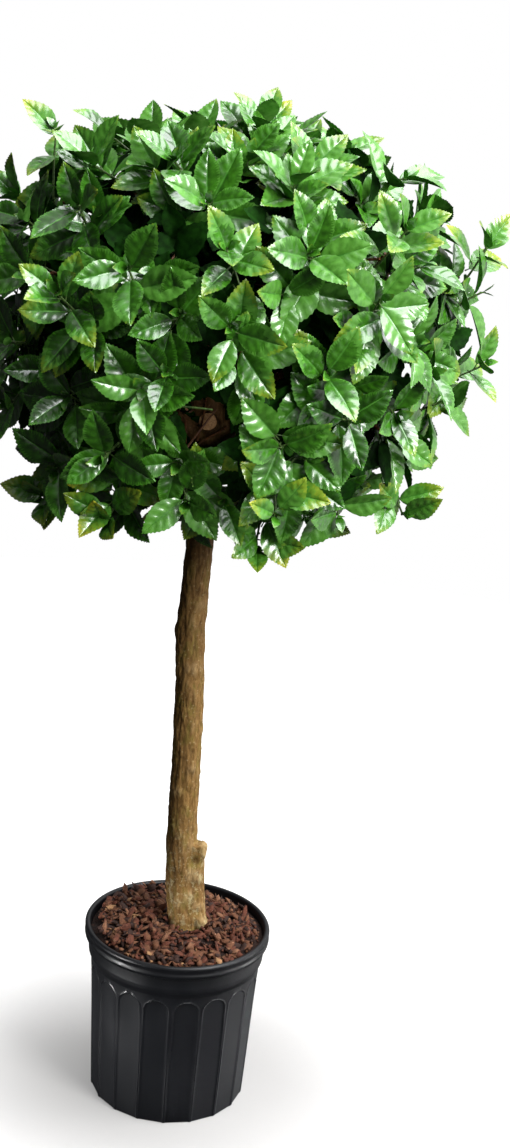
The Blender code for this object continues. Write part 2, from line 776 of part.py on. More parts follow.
def build_mass(name, points, centres, sites, unit_mesh, collection):
    """One mass of foliage, fused from its stem, core, shoots, twigs and leaves."""
    space = Space(name, centres, limb_segments())
    way = (points[-1] - points[-2]).normalized()
    stem_start = points[-1] + way * CLEARANCE
    core = core_mesh(name, space)
    neighbours = Neighbours(unit_mesh)
    neighbours.add_mesh(core)
    (start, end, radii), wood, leaves = grow_mass(name, stem_start, way, sites, space, neighbours)
    mass = tapered_stick(f"foliage_{name}", start, end, radii, 8, collection)
    fused = new_collection(f"pieces_{name}")
    add_object(f"{name}_core", core, fused)
    for number, (first, second, stick_radii) in enumerate(wood):
        tapered_stick(f"{name}_wood_{number}", first, second, stick_radii, 3, fused)
    for number, (matrix, length) in enumerate(leaves):
        add_object(f"{name}_leaf_{number}", unit_mesh, fused, matrix @ Matrix.Scale(length, 4))
    join_by_union(mass, fused, "MANIFOLD")
    keep_largest_shell(mass)
    mass.data.materials.clear()
    mass.data.materials.append(material("leaf"))
    return len(leaves)


def main():
    clear_scene()
    part = new_collection(PART_NAME)
    cutters = new_collection("cutters")
    build_pot(part, cutters)
    build_fill(part)
    build_trunk(part)
    build_boughs(part)
    centres = mass_centres()
    sites = spray_sites(centres)
    unit_mesh = unit_leaf_mesh()
    counts = {
        name: build_mass(name, points, centres, sites[name], unit_mesh, part)
        for name, points in bough_lines().items()
    }
    print("leaves", counts, "in all", sum(counts.values()))


main()
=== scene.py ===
"""Looks of the potted topiary: a squat ball of broad toothed leaves on a bare trunk, in a fluted pot.

Metres, +Z up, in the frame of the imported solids. The plant is an artificial one: leaves of pressed,
coated cloth on moulded stems, fixed to a real dried trunk that stands in a nursery pot of bark chips.
"""

import math
import random

import bpy
import numpy as np
from mathutils import Matrix, Vector, noise
from mathutils.bvhtree import BVHTree


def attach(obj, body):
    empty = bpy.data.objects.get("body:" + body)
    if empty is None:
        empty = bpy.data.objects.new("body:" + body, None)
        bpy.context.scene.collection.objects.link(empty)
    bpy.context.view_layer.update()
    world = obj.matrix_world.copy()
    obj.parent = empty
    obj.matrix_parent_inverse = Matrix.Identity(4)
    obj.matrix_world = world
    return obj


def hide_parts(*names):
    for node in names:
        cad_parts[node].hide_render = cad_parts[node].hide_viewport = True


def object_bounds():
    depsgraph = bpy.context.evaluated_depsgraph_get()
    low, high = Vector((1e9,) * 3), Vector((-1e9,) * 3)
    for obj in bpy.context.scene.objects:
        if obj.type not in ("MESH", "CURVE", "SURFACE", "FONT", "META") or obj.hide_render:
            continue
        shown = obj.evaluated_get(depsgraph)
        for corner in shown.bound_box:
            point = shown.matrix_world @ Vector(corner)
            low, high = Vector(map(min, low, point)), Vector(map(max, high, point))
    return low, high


BODY = "root"
UP = Vector((0.0, 0.0, 1.0))
GOLDEN_ANGLE = math.pi * (3.0 - math.sqrt(5.0))
MILLIMETRE = 0.001

# The photograph's view: from a little above the ball, looking down, with a slight lean.
PHOTO_HEIGHT = 1148
FOCAL_PIXELS = 2000.0
SENSOR = 36.0
CAMERA_PLACE = Vector((0.0, -2.538, 1.634))
CAMERA_YAW = math.radians(1.556)
CAMERA_PITCH = math.radians(18.43)
CAMERA_ROLL = math.radians(4.684)

# Pot: the same section as the solid's, with its corners rounded and its flutes softened.
POT_HEIGHT = 0.260
LIP_RADIUS = 0.131
LIP_WIDTH = 0.008
LIP_FOOT = 0.2415
LIP_INNER_DROP = 0.003  # how far under the roll's top the lip's inner edge is
ROLL_HALF = 0.004  # half the height of the rolled edge
ROLL_END = 0.0045  # these two are under the pot's top
GROOVE_TOP = 0.0085
GROOVE_FOOT = 0.0075  # these two are over the lip's foot
SKIRT_TOP = 0.0045
LIP_GROOVE = 0.0012  # how deep the line under the roll is
SKIRT_SWELL = 0.0002
SKIRT_TUCK = 0.0008
BAND_RADIUS = 0.1246
BAND_FOOT = 0.2165
BAND_START = 0.0012  # under the lip's foot
BAND_EDGE = 0.0060  # over the band's foot
BAND_TUCK = 0.0016
BAND_FOOT_TUCK = 0.0006
SLOPE_FOOT = 0.2075
SLOPE_STEP = 0.0001
BODY_TOP_RADIUS = 0.1195
WALL_START = 0.0012  # over the flutes' heads
FOOT_RADIUS = 0.110
FOOT_ROUND = 0.003
POT_WALL = 0.0034
FLOOR_HUB = 0.004
FLOOR_TUCK = 0.001
FLUTE_COUNT = 18
FLUTE_DEPTH = 0.0018
FLUTE_WIDTH = 0.035
FLUTE_HEAD = 0.199
FLUTE_SOFT = 0.0007  # half the width of the step at a flute's edge
FLUTE_BEAD = 0.0007  # height of the drawn line that the mould leaves round each flute
FLUTE_BEAD_WIDTH = 0.0011
FLUTE_BEAD_OFFSET = 0.6  # how many widths outside the flute's edge it runs
FLUTE_ROWS_START = 0.0006  # over the flutes' heads
FLUTE_COLUMNS = 30
ROLL_ROWS = 9
HEAD_ROWS = 20
STRAIGHT_ROWS = 9
FOOT_ROWS = 5
CORNER_REACH = 0.0012
CORNER_SHARE = 0.45  # of a side, which the curve at one of its ends takes at most
CORNER_STEPS = 3
POT_CREASE = 38.0

# Mulch: bark chips strewn over the mound of the fill.
FILL_EDGE = 0.247  # height of the fill at the pot's wall
FILL_CROWN = 0.259  # and round the stem
FILL_FLAT_RADIUS = 0.034
FILL_SHOULDER_RADIUS = 0.074
FILL_SHOULDER_RISE = 0.002
FILL_RADIUS = 0.121
MULCH_RADIUS = 0.1185
STEM_FEET = ((0.010, 0.0, 0.0262), (0.027, -0.007, 0.0145))  # x, y and radius: chips lie round them
CHIP_SEED = 7
CHIP_LAYERS = (  # count, lift, tilt in degrees, gap to the stem as a share of the chip's length
    (560, 0.0, 14.0, 0.30),
    (640, 0.0018, 28.0, 0.16),
    (440, 0.0038, 42.0, 0.04),
)
CHIP_LENGTH = (0.0050, 0.025)
CHIP_WIDTH_SHARE = (0.42, 0.84)
CHIP_THICKNESS = (0.0018, 0.0042)
SHRED_SHARE = 0.20  # of the chips are long torn shreds
SHRED_STRETCH = 1.4
SHRED_WIDTH_SHARE = (0.16, 0.34)
SHRED_THICKNESS_SHARE = 0.6
SHRED_CURL = 0.10  # how far its ends bend up or down, as a share of its length
CHIP_CORNERS = 5
CHIP_CORNER_SPREAD = 0.28  # how far a corner turns from its even place, in steps between corners
CHIP_LEVELS = ((-0.5, 0.88), (0.05, 1.0), (0.5, 0.84))  # rise in thicknesses, share of the outline
CHIP_UNEVEN = 0.16  # how far a corner lies off its level, in thicknesses
CHIP_RAGGED = (0.66, 1.16)
CHIP_RIDGE = (0.40, 0.60)  # rise of the middle of its upper side, in thicknesses
CHIP_RIDGE_SHIFT = 0.1  # how far along it that point lies off the middle, as a share of its length
CHIP_WALL_SHARE = 0.42  # of its length, which its middle keeps from the pot's wall
CHIP_PROP_SHARE = 0.22  # of its length, which one that leans right over is propped up by
CHIP_BED = 0.0012  # how far over the fill its middle lies
CHIP_BANK_BEARING = 152.0  # the side where the chips are banked up
CHIP_BANK = 0.0095
CHIP_TOP = 0.2705

# Trunk centre line as (x, y, z, radius), and what is fused to it.
TRUNK_LINE = (
    (0.0100, 0.000, 0.2593, 0.0258),
    (0.0100, 0.000, 0.265, 0.0246),
    (0.0058, 0.001, 0.290, 0.0236),
    (0.0012, 0.001, 0.330, 0.0228),
    (-0.0035, 0.000, 0.400, 0.0212),
    (-0.0045, -0.001, 0.500, 0.0203),
    (-0.0065, 0.000, 0.600, 0.0198),
    (-0.0110, 0.002, 0.690, 0.0200),
    (-0.0090, 0.002, 0.780, 0.0186),
    (-0.0070, 0.000, 0.860, 0.0180),
    (-0.0040, 0.000, 0.940, 0.0172),
    (-0.0020, 0.000, 1.010, 0.0150),
)
SIDE_STEM_LINE = (
    (0.0270, -0.007, 0.256, 0.0140),
    (0.0225, -0.006, 0.300, 0.0135),
    (0.0190, -0.005, 0.346, 0.0130),
    (0.0180, -0.005, 0.388, 0.0125),
)
ROOT_TOES = (  # bearing in degrees, reach, radius
    (-24.0, 0.022, 0.0130),
    (-100.0, 0.015, 0.0115),
    (85.0, 0.015, 0.0120),
    (172.0, 0.013, 0.0120),
)
TOE_HEIGHT = 0.045
TOE_START = 0.008  # how far out from the trunk's middle its upper end is
TOE_SINK = 0.003
TOE_TAPER = 0.75
PRUNED_STUB = {"height": 0.985, "bearing": -97.0, "rise": 22.0, "length": 0.052, "radius": 0.0120}

# Crown outline, masses and boughs, as in the solids.
CROWN_CENTRE = Vector((0.004, 0.0, 1.126))
CROWN_HALF = Vector((0.328, 0.326, 0.268))
CROWN_SQUARENESS = 2.7
CROWN_BUMPS = (  # bearing and rise in degrees, height
    (-2.0, 21.0, 0.046),
    (3.0, -6.0, 0.046),
    (-18.0, -40.0, 0.044),
    (-124.0, -44.0, 0.034),
    (52.0, 10.0, 0.030),
    (96.0, 34.0, 0.024),
    (118.0, -16.0, 0.034),
    (158.0, 22.0, 0.026),
    (196.0, -10.0, 0.030),
    (232.0, 12.0, 0.028),
    (286.0, -32.0, 0.030),
    (316.0, 30.0, 0.026),
    (182.0, 45.0, 0.034),
    (60.0, 76.0, 0.014),
    (-70.0, -56.0, 0.034),
    (205.0, -44.0, 0.036),
)
BUMP_WIDTH = math.radians(13.0)
RING_BOUGHS = (  # name, bearing and rise in degrees, height on the trunk
    ("front_right", -60.0, 28.0, 0.938),
    ("right", 0.0, 38.0, 0.968),
    ("back_right", 60.0, 30.0, 0.942),
    ("back_left", 120.0, 40.0, 0.974),
    ("left", 180.0, 36.0, 0.962),
    ("front_left", -120.0, 26.0, 0.934),
)
RING_MASS_RADIUS = 0.20
RING_MASS_HEIGHTS = (1.120, 1.085)
TOP_MASS_CENTRE = Vector((0.008, 0.0, 1.290))
COLLAR_LENGTH = 0.036
COLLAR_SUNK = 0.015  # how much of it lies inside the trunk
COLLAR_RADIUS = 0.0105
COLLAR_FLARE = 1.25
COLLAR_FLARE_SHARE = 0.2  # of the way from the trunk's middle to the collar's end
BOUGH_TIP_RADIUS = 0.0065
BOUGH_SHARE = 0.46  # of the way to the middle of its mass
BOUGH_BEND_SHARE = 0.5
BOUGH_BEND_EASE = 0.08
LEADER_LENGTH = 0.115
LEADER_START = 0.01
LEADER_SWAY = ((0.003, 0.002), (0.008, 0.0))  # sideways, at its middle and at its tip
TRUNK_MESH = (0.006, 48)  # length of a step and number of sides
FOOT_MESH = (0.006, 24)
BOUGH_MESH = (0.005, 20)
STUB_SIDES = 28
TOE_STEPS = 6
STUB_STEPS = 8
STUB_FLARE = 0.002

# Bark relief.
BARK_VOXEL = 0.0015
BARK_SMOOTHING = 5  # rounds
FISSURE_WIDTH = 0.0046
FISSURE_STRETCH = 4.2  # how much longer a fissure is than it is wide
FISSURE_LINE = (0.17, 0.8)  # share of the width that is cracked, and how deep
BRANCH_WIDTH = 2.3  # the wider mesh of cracks that crosses it, in fissure widths
BRANCH_LINE = (0.11, 1.0)
BRANCH_SHIFT = Vector((9.0, 4.0, 2.0))
FISSURE_DEPTH = 0.0012
WEAK_SIZE = 0.03  # of the patches where fissures are shallow
WEAK_DEPTH = 0.35
LUMP_SIZE = 0.012
LUMP_STRETCH = 0.45  # height is shrunk so much before a pattern is taken, which draws it out upwards
LUMP_HEIGHT = 0.0013
PLATE_SIZE = 0.0048
PLATE_STRETCH = 0.30
PLATE_HEIGHT = 0.0010
GRAIN_SIZE = 0.0016
GRAIN_STRETCH = 0.5
GRAIN_HEIGHT = 0.00028
RELIEF_LIGHT_SPAN = 4.0 * LUMP_HEIGHT  # the height from a hollow, where shade is painted dark, to a ridge, where light is painted pale
KNOT_REACH = 2.5  # radii, over which a knot is felt
PLAIN_FOOT = 0.0015  # height over the flat cut that stays without relief
CUT_DEPTH = 0.0016  # of the stub's end that stays without relief
CUT_REACH = 0.016
CUT_FACE_REACH = 0.015
CUT_FACE_TURN = 0.75  # a face belongs to the sawn cut when its normal follows the stub so closely
KNOTS = (  # height, bearing in degrees, distance from the axis, radius, how far it stands out
    (0.384, -14.0, 0.031, 0.009, 0.0036),
    (0.364, -44.0, 0.027, 0.0070, -0.0030),
    (0.372, -22.0, 0.033, 0.0060, 0.0026),
    (0.344, -58.0, 0.025, 0.010, 0.0030),
    (0.326, -26.0, 0.033, 0.006, -0.0018),
    (0.336, -36.0, 0.031, 0.006, 0.0022),
    (0.312, -66.0, 0.024, 0.009, 0.0026),
    (0.270, -34.0, 0.037, 0.012, 0.0070),
    (0.287, -62.0, 0.030, 0.007, -0.0024),
    (0.268, -64.0, 0.030, 0.008, -0.0050),
    (0.296, -44.0, 0.031, 0.007, 0.0026),
    (0.300, -100.0, 0.023, 0.009, 0.0020),
    (0.345, -115.0, 0.022, 0.008, -0.0016),
    (0.470, -120.0, 0.020, 0.009, 0.0022),
    (0.505, -60.0, 0.020, 0.008, 0.0018),
    (0.560, -20.0, 0.020, 0.008, 0.0020),
    (0.600, -95.0, 0.019, 0.007, -0.0014),
    (0.655, -80.0, 0.020, 0.010, 0.0020),
    (0.700, 170.0, 0.020, 0.012, 0.0026),
    (0.742, -55.0, 0.019, 0.008, 0.0018),
    (0.610, 60.0, 0.020, 0.010, 0.0020),
    (0.830, -100.0, 0.018, 0.008, 0.0016),
    (0.450, 120.0, 0.020, 0.010, 0.0020),
)

# Foliage: the solids' twigs and whorls, then side twigs and inner twigs between them.
SEED = 41
SITE_TURN_SPREAD = 0.16  # in radians, like the next turn
RANK_TURN = 1.3  # how far each rank's spiral is turned on from the last rank's
SITE_SWAY = 0.25  # how far each part of a whorl's normal strays
UPWARD_FACE = 0.12  # how far every whorl turns up towards the light
ROUND_FACE = 0.45  # how far it turns from the outline's normal to straight out from the crown's centre
FRONT = Vector((0.0, -1.0, 0.0))
FRONT_FACE = 0.32  # how far the whorls that the photograph shows turn to its viewer
FRONT_REACH = 0.35  # how far round to the back they do, as the y of the way out
TOP_STAND = 26.0  # how many degrees more the leaves stand up where the whorl faces straight up
DROOPING_FACE = 0.35  # how much of the outline's downward slope a low whorl keeps
# Inset is how far under the outline a rank's whorls stand, and spread is how much further they may.
RANK_FACTS = ("seed", "count", "inset", "spread", "kind", "size", "leaves")
SITE_RANKS = [
    dict(zip(RANK_FACTS, facts))
    for facts in (
        (SEED, 88, 0.028, 0.032, "fine", 1.05, (6, 6, 7)),
        (42, 98, 0.060, 0.030, "fine", 0.95, (5, 6, 6)),
        (43, 128, 0.096, 0.034, "plain", 0.95, (5, 6)),
        (44, 100, 0.142, 0.050, "plain", 1.0, (5, 6)),
        (45, 60, 0.205, 0.050, "plain", 1.05, (5, 6)),
    )
]
OUTER_RANKS = 2
BUMP_SITE_INSET = 0.034
BUMP_SITE_ROOM = math.radians(9.0)
BUMP_FACE = (0.55, 0.60, 0.50)  # outward, upward and frontward shares of the way a whorl on a bump faces
BUMP_SPRAY = {"size": 0.92, "leaves": 8, "lift": (4.0, 60.0)}
BUMP_SLACK = 0.020  # how far past the outline a leaf on a high bump may reach
LEAF_SLACK = 0.004
BOX_SLACK = 0.018  # how far past the solids' box a leaf may reach, as a share of each side
TRUNK_BAY = 0.055  # no whorl stands nearer than this to the trunk's axis
OPEN_BAY = {  # the gap in front of the pruned stub; its reach is in half widths of the crown
    "bearing": -90.0,
    "rise": 14.5,
    "radius": 0.030,
    "reach": 1.4,
}
SITES_PER_SHOOT = 3
STEM_SHARE = 0.42  # of the way to the middle of the outer whorls
STEM_SUNK = 0.004
SHOOT_SHARE = (0.45, 0.95)  # where on its stem a shoot starts
KNUCKLE_PULL = 0.46  # of the way back from its whorls to the stem, where a shoot ends
SIDE_TWIG_SHARE = (0.35, 0.75)  # where on its twig a side twig starts
TWIG_RETREAT = 0.12  # of the way to its mass's centre, which a twig's end outside the mass is drawn in
TWIG_END_FREE = 0.12  # share of a twig at its tip that leaves may cross
TWIG_SAG = 0.06
STEM_SAG = 0.02
TWIG_STEP = 0.016
TWIG_KNUCKLE = 0.16  # how much thicker a twig is where a whorl was set
TWIG_KNUCKLE_STEPS = 3
STICK_PIECES = 1.5  # stand-in pieces in each leaf reach of a twig
STEM_RADII = (BOUGH_TIP_RADIUS, 0.0042)
SHOOT_RADII = (0.0040, 0.0028)
TWIG_RADII = (0.0022, 0.0012)
SIDE_TWIG_RADII = (0.0017, 0.0010)
PETIOLE_RADII = (0.00108, 0.00063)
STEM_SIDES = 12
SHOOT_SIDES = 8
TWIG_SIDES = 7
SIDE_TWIG_SIDES = 6
PETIOLE_SIDES = 5
BROWN_STEM, GREEN_STEM = 0, 1  # slots of the twigs' finishes
SPRAY_TONES = (0.5, 1.0, 1.2, 1.8)  # 0 is deep green, 1 middle and 2 bright
SPRAY_TINTS = (0.0, 0.1, 0.2, 0.35, 0.5)  # how far towards its foot a leaf has turned yellow
BUMP_TINT = 0.98
INNER_TINT = 0.2
LEAF_TINTS = (0.35, 1.25)  # of its spray's, for one leaf
LEAF_TONE_SPREAD = 0.7
# painted light: whorls facing up take lighter greens
PAINTED_TOP_LIGHT = 0.4
PAINTED_SIDE_LIGHT = 0.75  # painted light: whorls facing right, towards the key light, take lighter greens than those facing left
# painted shade: each rank further in takes a darker green
PAINTED_RANK_SHADE = 0.4
LEAF_LENGTH = 0.077
LEAF_TIP_SHARE = 0.80  # length of a whorl's last leaf, to its first's
LEAF_SIZE_SPREAD = 0.12
LEAF_TIGHT_SHARE = 0.84  # length of the shortest leaf tried where room is short
LEAF_WIDTH_SPREAD = (0.92, 1.06)
LEAF_LIFT = (0.0, 44.0)  # degrees, of a whorl's first leaf and of its last
LEAF_LIFT_SPREAD = 14.0
LEAF_TURN_SPREAD = 0.35
LEAF_SPACING = 0.0036
LEAF_SPACING_POWER = 1.5  # leaves stand closer towards the tip of the twig
LEAF_TIP_GAP = 0.002
LEAF_TRIES = 14
FIRST_LEAVES = 3  # of a whorl, which may cross more of their neighbours than the rest
FIRST_TOUCHES = 2
TOUCHES = 1
LEAF_REACH = 0.095  # leaves further apart than this never touch
CELL_OVERHANG = 0.014  # how far a leaf may lean over into the next mass
LIMB_MARGIN = 0.003
PETIOLE_LENGTH = 0.006
PETIOLE_SUNK = 0.001
PETIOLE_OVERLAP = 0.05  # of the leaf's length
PETIOLE_STEPS = 2
YOUNG_LEAVES = 2
YOUNG_LENGTHS = (0.016, 0.027)
YOUNG_LIFT = (58.0, 76.0)
YOUNG_TURN_SPREAD = 0.3
YOUNG_GAP = 0.001
YOUNG_TINT = 0.4
BUD_ENDS = (-0.002, 0.006)  # along the whorl's normal, from the twig's tip
BUD_RADII = (0.0017, 0.0003)
BUD_SIDES = 6
BUD_STEPS = 3

# One leaf, in shares of its length.
LEAF_WIDTH_SHARE = 0.56
LEAF_ROUNDNESS = (0.72, 0.98)  # of the outline, at the foot and at the tip
LEAF_BROADEST_POWER = 0.94
VEIN_SWEEP = 0.20
VEIN_BOW = 1.2  # over 1, the veins leave the midrib straight and then bend towards the tip
TOOTH_DEPTH = 0.010
TOOTH_LEAN = 0.010
TOOTH_NOTCH = -0.5  # how deep the edge falls between two teeth, in teeth
TOOTH_RISE = 5.0  # the teeth grow to their size over the first fifth
TOOTH_FALL = 7.0  # and shrink over the last seventh
PUCKER = 0.027  # how far the blade swells between two veins
PUCKER_START = 0.1  # share of the half width beside the midrib that stays flat
PUCKER_EDGE = 0.75  # how much of the swelling is gone at the edge
PUCKER_ENDS = 0.15  # how much of it is left at the foot and at the tip
MIDRIB_GROOVE = 0.004
EDGE_WAVES = 9.0  # radians of the edge's wave over the leaf
UNDERSIDE_GAP = 0.006
UNDERSIDE_ENDS = (0.02, 0.98)
LEAF_BENDS = {  # what a leaf's bends are drawn from, in this order; phase and twist are in radians
    "fold": (0.20, 0.46),
    "arch": (0.02, 0.13),
    "droop": (0.02, 0.20),
    "pucker": (0.75, 1.25),
    "wave": (0.0, 0.022),
    "phase": (0.0, math.tau),
    "twist": (-0.30, 0.30),
}
COLUMNS_FINE = (0.0, 0.06, 0.38, 0.74, 1.0)
COLUMNS_PLAIN = (0.0, 0.5, 1.0)
LEAF_KINDS = {  # vein pairs, rows to a vein, columns from the midrib to the edge, columns underneath
    "fine": (6, 4, COLUMNS_FINE, (0.0, 0.5)),
    "plain": (6, 2, COLUMNS_PLAIN, (0.0,)),
    "young": (4, 2, COLUMNS_PLAIN, (0.0,)),
}
# Eight faces over a leaf of unit length, for telling whether two leaves cross.
PROXY_POINTS = (
    (0.0, 0.0, 0.0),
    (0.42, 0.30, 0.06),
    (0.42, -0.30, 0.06),
    (1.0, 0.0, -0.12),
    (0.42, 0.0, 0.015),
    (0.42, 0.0, -0.04),
)
PROXY_FACES = ((0, 1, 4), (0, 4, 2), (3, 4, 1), (3, 2, 4), (0, 5, 1), (0, 2, 5), (3, 1, 5), (3, 5, 2))
STICK_FACES = ((0, 1, 4, 3), (1, 2, 5, 4), (2, 0, 3, 5))  # the same for a piece of twig, three-sided
LEAF_CREASE = 75.0
TWIG_CREASE = 50.0

# Where a leaf turns from its body's green to yellow, as shares of the way to its tip.
TIP_WEIGHTS = (0.87, 0.13)  # of the way along, and of the squared way across
COLOUR_GRAIN = 0.08  # how ragged the borders are
COLOUR_SCRAPS = 16
COLOUR_SCRAP_FACES = 3
RIM = 0.90  # share of the half width, outside which the edge is one tone lighter
TURN_START = 1.04  # at no tint: past the tip
TURN_PULLS = (0.72, 0.25)  # how far the start comes back for a whole tint, up to the bend and over it
TINT_BEND = 0.5
TURN_STEPS = (-0.20, -0.10, 0.0, 0.12)  # of the lighter, bright, lime and fresh tones, from that start
YELLOW_START = (1.26, 0.40)  # at no tint, and how far it comes back for a whole tint
GOLD_START = (1.34, 0.38)
MIDRIB_WIDTH = 0.05
MIDRIB_END = 0.80

# Finishes.
POT_SPECULAR = 0.32  # satin black plastic mirrors less than its clear resin would
CHIP_TONES = {  # weathered top, inner grain
    "dark": ("#26130b", "#3b2014"),
    "red": ("#4b2416", "#6f3c26"),
    "brown": ("#52301d", "#784c30"),
    "rose": ("#67402b", "#906548"),
    "tan": ("#825c3c", "#b3895f"),
}
CHIP_SHARES = (2.6, 3.6, 3.2, 1.3, 0.30)
STEM_TONES = {"brown": ("#4a2c14", "#7a4c26"), "green": ("#2b3d18", "#52702f")}
LEAF_TONES = {  # the darker and the lighter patches of the print; the inner tone is painted shade
    "deep": ("#193a07", "#295b0d"),
    "middle": ("#28560d", "#3e7c19"),
    "bright": ("#3f7720", "#5b9737"),
    "lime": ("#507b1c", "#6f992d"),
    "fresh": ("#63821b", "#839d2c"),
    "yellow": ("#87941d", "#a9af2e"),
    "gold": ("#a6a826", "#c9c83a"),
    "midrib": ("#34701c", "#528f33"),
    "underside": ("#3f7624", "#5f9440"),
    # inner: near-black green, painted shade for the leaves inside the crown
    "inner": ("#0d2507", "#19400d"),
}
LEAF_SLOTS = tuple(LEAF_TONES)
DEEP, MIDDLE, BRIGHT, LIME, FRESH, YELLOW, GOLD, MIDRIB, UNDERSIDE, SHADED_INNER = range(len(LEAF_SLOTS))
LEAF_ROUGHNESS = {"underside": 0.60, "midrib": 0.40, "inner": 0.62}
LEAF_PLAIN_ROUGHNESS = 0.34
LEAF_SPECULAR = 0.12  # the cloth under the coat
LEAF_MATT_SPECULAR = 0.048
LEAF_GLOSSY = LEAF_SLOTS[:-2]  # all but the underside and the inner leaves
LEAF_COATS = {"fresh": 0.8, "yellow": 0.65, "gold": 0.55, "underside": 0.0, "inner": 0.0}
LEAF_COAT = 1.0
LEAF_COAT_IOR = 1.72  # over PE's own 1.5, to match the strong gloss in the photo
LEAF_COAT_ROUGHNESS = 0.24
BARK_SPECULAR = 0.25  # dry bark mirrors little

# Stage and light.
PAPER_RINGS = (0.4, 0.8, 1.2, 1.7, 2.4)
PAPER_SIDES = 96
PAPER_CREASE = 60.0
PAINTED_GLOW_REACH = (0.11, 0.52)  # from the pot's axis: where the paper's painted glow starts to grow, and is whole; nearer the pot a painted shadow shows
PAINTED_FOOT_GLOW = 0.26  # what is left of the painted glow at the pot's foot, where it paints a shadow
BRIGHT_SIDE = (0.71, 0.16, 0.68)  # of the white room: the other side is in the dark
BRIGHT_REACH = (-0.10, 0.95)  # cosines from that side, where the room is darkest and brightest
ROOM_LIGHT = (0.035, 1.05)  # its strength there
WHITE = (1.0, 1.0, 1.0)
SKY_WHITE = (0.95, 0.97, 1.0)  # a little cooler, which makes the gloss on the leaves bluish
SOFT_BOXES = (  # name, place, target, size, power in watts, spread in degrees, colour
    ("key", (2.1, -2.1, 2.3), (0.05, 0.0, 0.95), (1.1, 1.1), 84.0, 180.0, WHITE),
    ("overhead", (1.20, -0.60, 3.3), (0.0, 0.0, 0.9), (2.5, 2.4), 149.0, 180.0, SKY_WHITE),
    ("pot_strip", (-1.7, -0.8, 0.11), (0.0, 0.0, 0.11), (0.5, 0.25), 1.1, 12.0, WHITE),
    ("pot_edge", (1.7, 0.1, 0.12), (0.0, 0.0, 0.11), (0.5, 0.2), 0.85, 9.0, WHITE),
    ("hair", (0.6, 2.0, 2.8), (0.0, 0.0, 1.1), (2.4, 1.2), 9.0, 180.0, WHITE),
    ("gap_spot", (0.05, -2.3, 1.50), (-0.010, -0.055, 1.002), (0.1, 0.1), 0.009, 5.0, WHITE),
)


def bearing_vector(bearing, rise=0.0):
    """Unit vector at a bearing from +X and a rise above the horizon, both in degrees."""
    turn, lift = math.radians(bearing), math.radians(rise)
    return Vector((math.cos(turn) * math.cos(lift), math.sin(turn) * math.cos(lift), math.sin(lift)))


def segment_distance(point, start, end):
    along = end - start
    share = max(0.0, min(1.0, (point - start).dot(along) / along.length_squared))
    return (point - start - along * share).length


def soft_step(value):
    held = np.clip(value, 0.0, 1.0)
    return held * held * (3.0 - 2.0 * held)


class Stock:
    """Triangles of one kind, gathered to be made into one joined piece."""

    def __init__(self):
        self.points = []
        self.faces = []
        self.slots = []
        self.count = 0

    def put(self, points, faces, slots=0):
        self.points.append(np.asarray(points, float))
        self.faces.append(np.asarray(faces) + self.count)
        self.slots.append(np.broadcast_to(slots, len(faces)))
        self.count += len(points)

    def make(self, name, finishes, crease=None):
        """The piece. Its edges are sharp over crease degrees; without a crease it keeps its facets."""
        points = np.concatenate(self.points)
        faces = np.concatenate(self.faces)
        mesh = bpy.data.meshes.new(name)
        mesh.vertices.add(len(points))
        mesh.vertices.foreach_set("co", points.ravel())
        mesh.loops.add(faces.size)
        mesh.loops.foreach_set("vertex_index", faces.ravel())
        mesh.polygons.add(len(faces))
        mesh.polygons.foreach_set("loop_start", np.arange(0, faces.size, 3))
        mesh.polygons.foreach_set("material_index", np.concatenate(self.slots))
        mesh.update(calc_edges=True)
        for finish in finishes:
            mesh.materials.append(finish)
        if crease is not None:
            mesh.shade_smooth()
            mesh.set_sharp_from_angle(angle=math.radians(crease))
        return add_object(name, mesh)


def add_object(name, data):
    obj = bpy.data.objects.new(name, data)
    bpy.context.scene.collection.objects.link(obj)
    return obj


def settle(piece, slot, *nodes):
    """The piece rides on the plant's one body and stands for the nodes; slot is not used."""
    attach(piece, BODY)
    if nodes:
        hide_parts(*nodes)


def wrap_faces(rows, columns):
    """Triangles of a grid of points whose columns close on themselves."""
    ring = np.arange(columns)
    after = (ring + 1) % columns
    faces = []
    for row in range(rows - 1):
        low, high = row * columns, (row + 1) * columns
        faces.append(np.stack([low + ring, low + after, high + after], axis=1))
        faces.append(np.stack([low + ring, high + after, high + ring], axis=1))
    return np.concatenate(faces)


def fan_faces(centre, first, columns, flip=False):
    """Triangles from one point to a ring."""
    ring = np.arange(columns)
    after = (ring + 1) % columns
    low, high = (after, ring) if flip else (ring, after)
    return np.stack([np.full(columns, centre), first + low, first + high], axis=1)


def skin_faces(rows, columns):
    """Triangles of a closed skin, whose points are its rings and then the middles of its two ends."""
    ends = rows * columns
    return np.concatenate(
        [
            wrap_faces(rows, columns),
            fan_faces(ends, 0, columns, flip=True),
            fan_faces(ends + 1, ends - columns, columns),
        ]
    )


def moved(points, matrix):
    """An array of points, moved by a matrix."""
    pose = np.array(matrix)
    return points @ pose[:3, :3].T + pose[:3, 3]


def linear(code):
    """An sRGB hex colour as the linear colour that a shader takes."""
    shares = [int(code[place : place + 2], 16) / 255.0 for place in (1, 3, 5)]
    return tuple(s / 12.92 if s <= 0.04045 else ((s + 0.055) / 1.055) ** 2.4 for s in shares) + (1.0,)


def per_metre(millimetres):
    """The texture scale whose features are about so many millimetres across."""
    return 1.0 / (millimetres * MILLIMETRE)


def add(tree, kind, inputs=None, out=0, **settings):
    """Adds a node and returns its output out.

    inputs gives each socket its value, or the output that is linked to it.
    """
    made = tree.nodes.new(kind)
    for name, value in settings.items():
        setattr(made, name, value)
    for socket, value in (inputs or {}).items():
        if isinstance(value, bpy.types.NodeSocket):
            tree.links.new(value, made.inputs[socket])
        else:
            made.inputs[socket].default_value = value
    return made.outputs[out] if len(made.outputs) else None


def blank_material(name):
    made = bpy.data.materials.new(name)
    made.use_nodes = True
    made.node_tree.nodes.clear()
    return made, made.node_tree


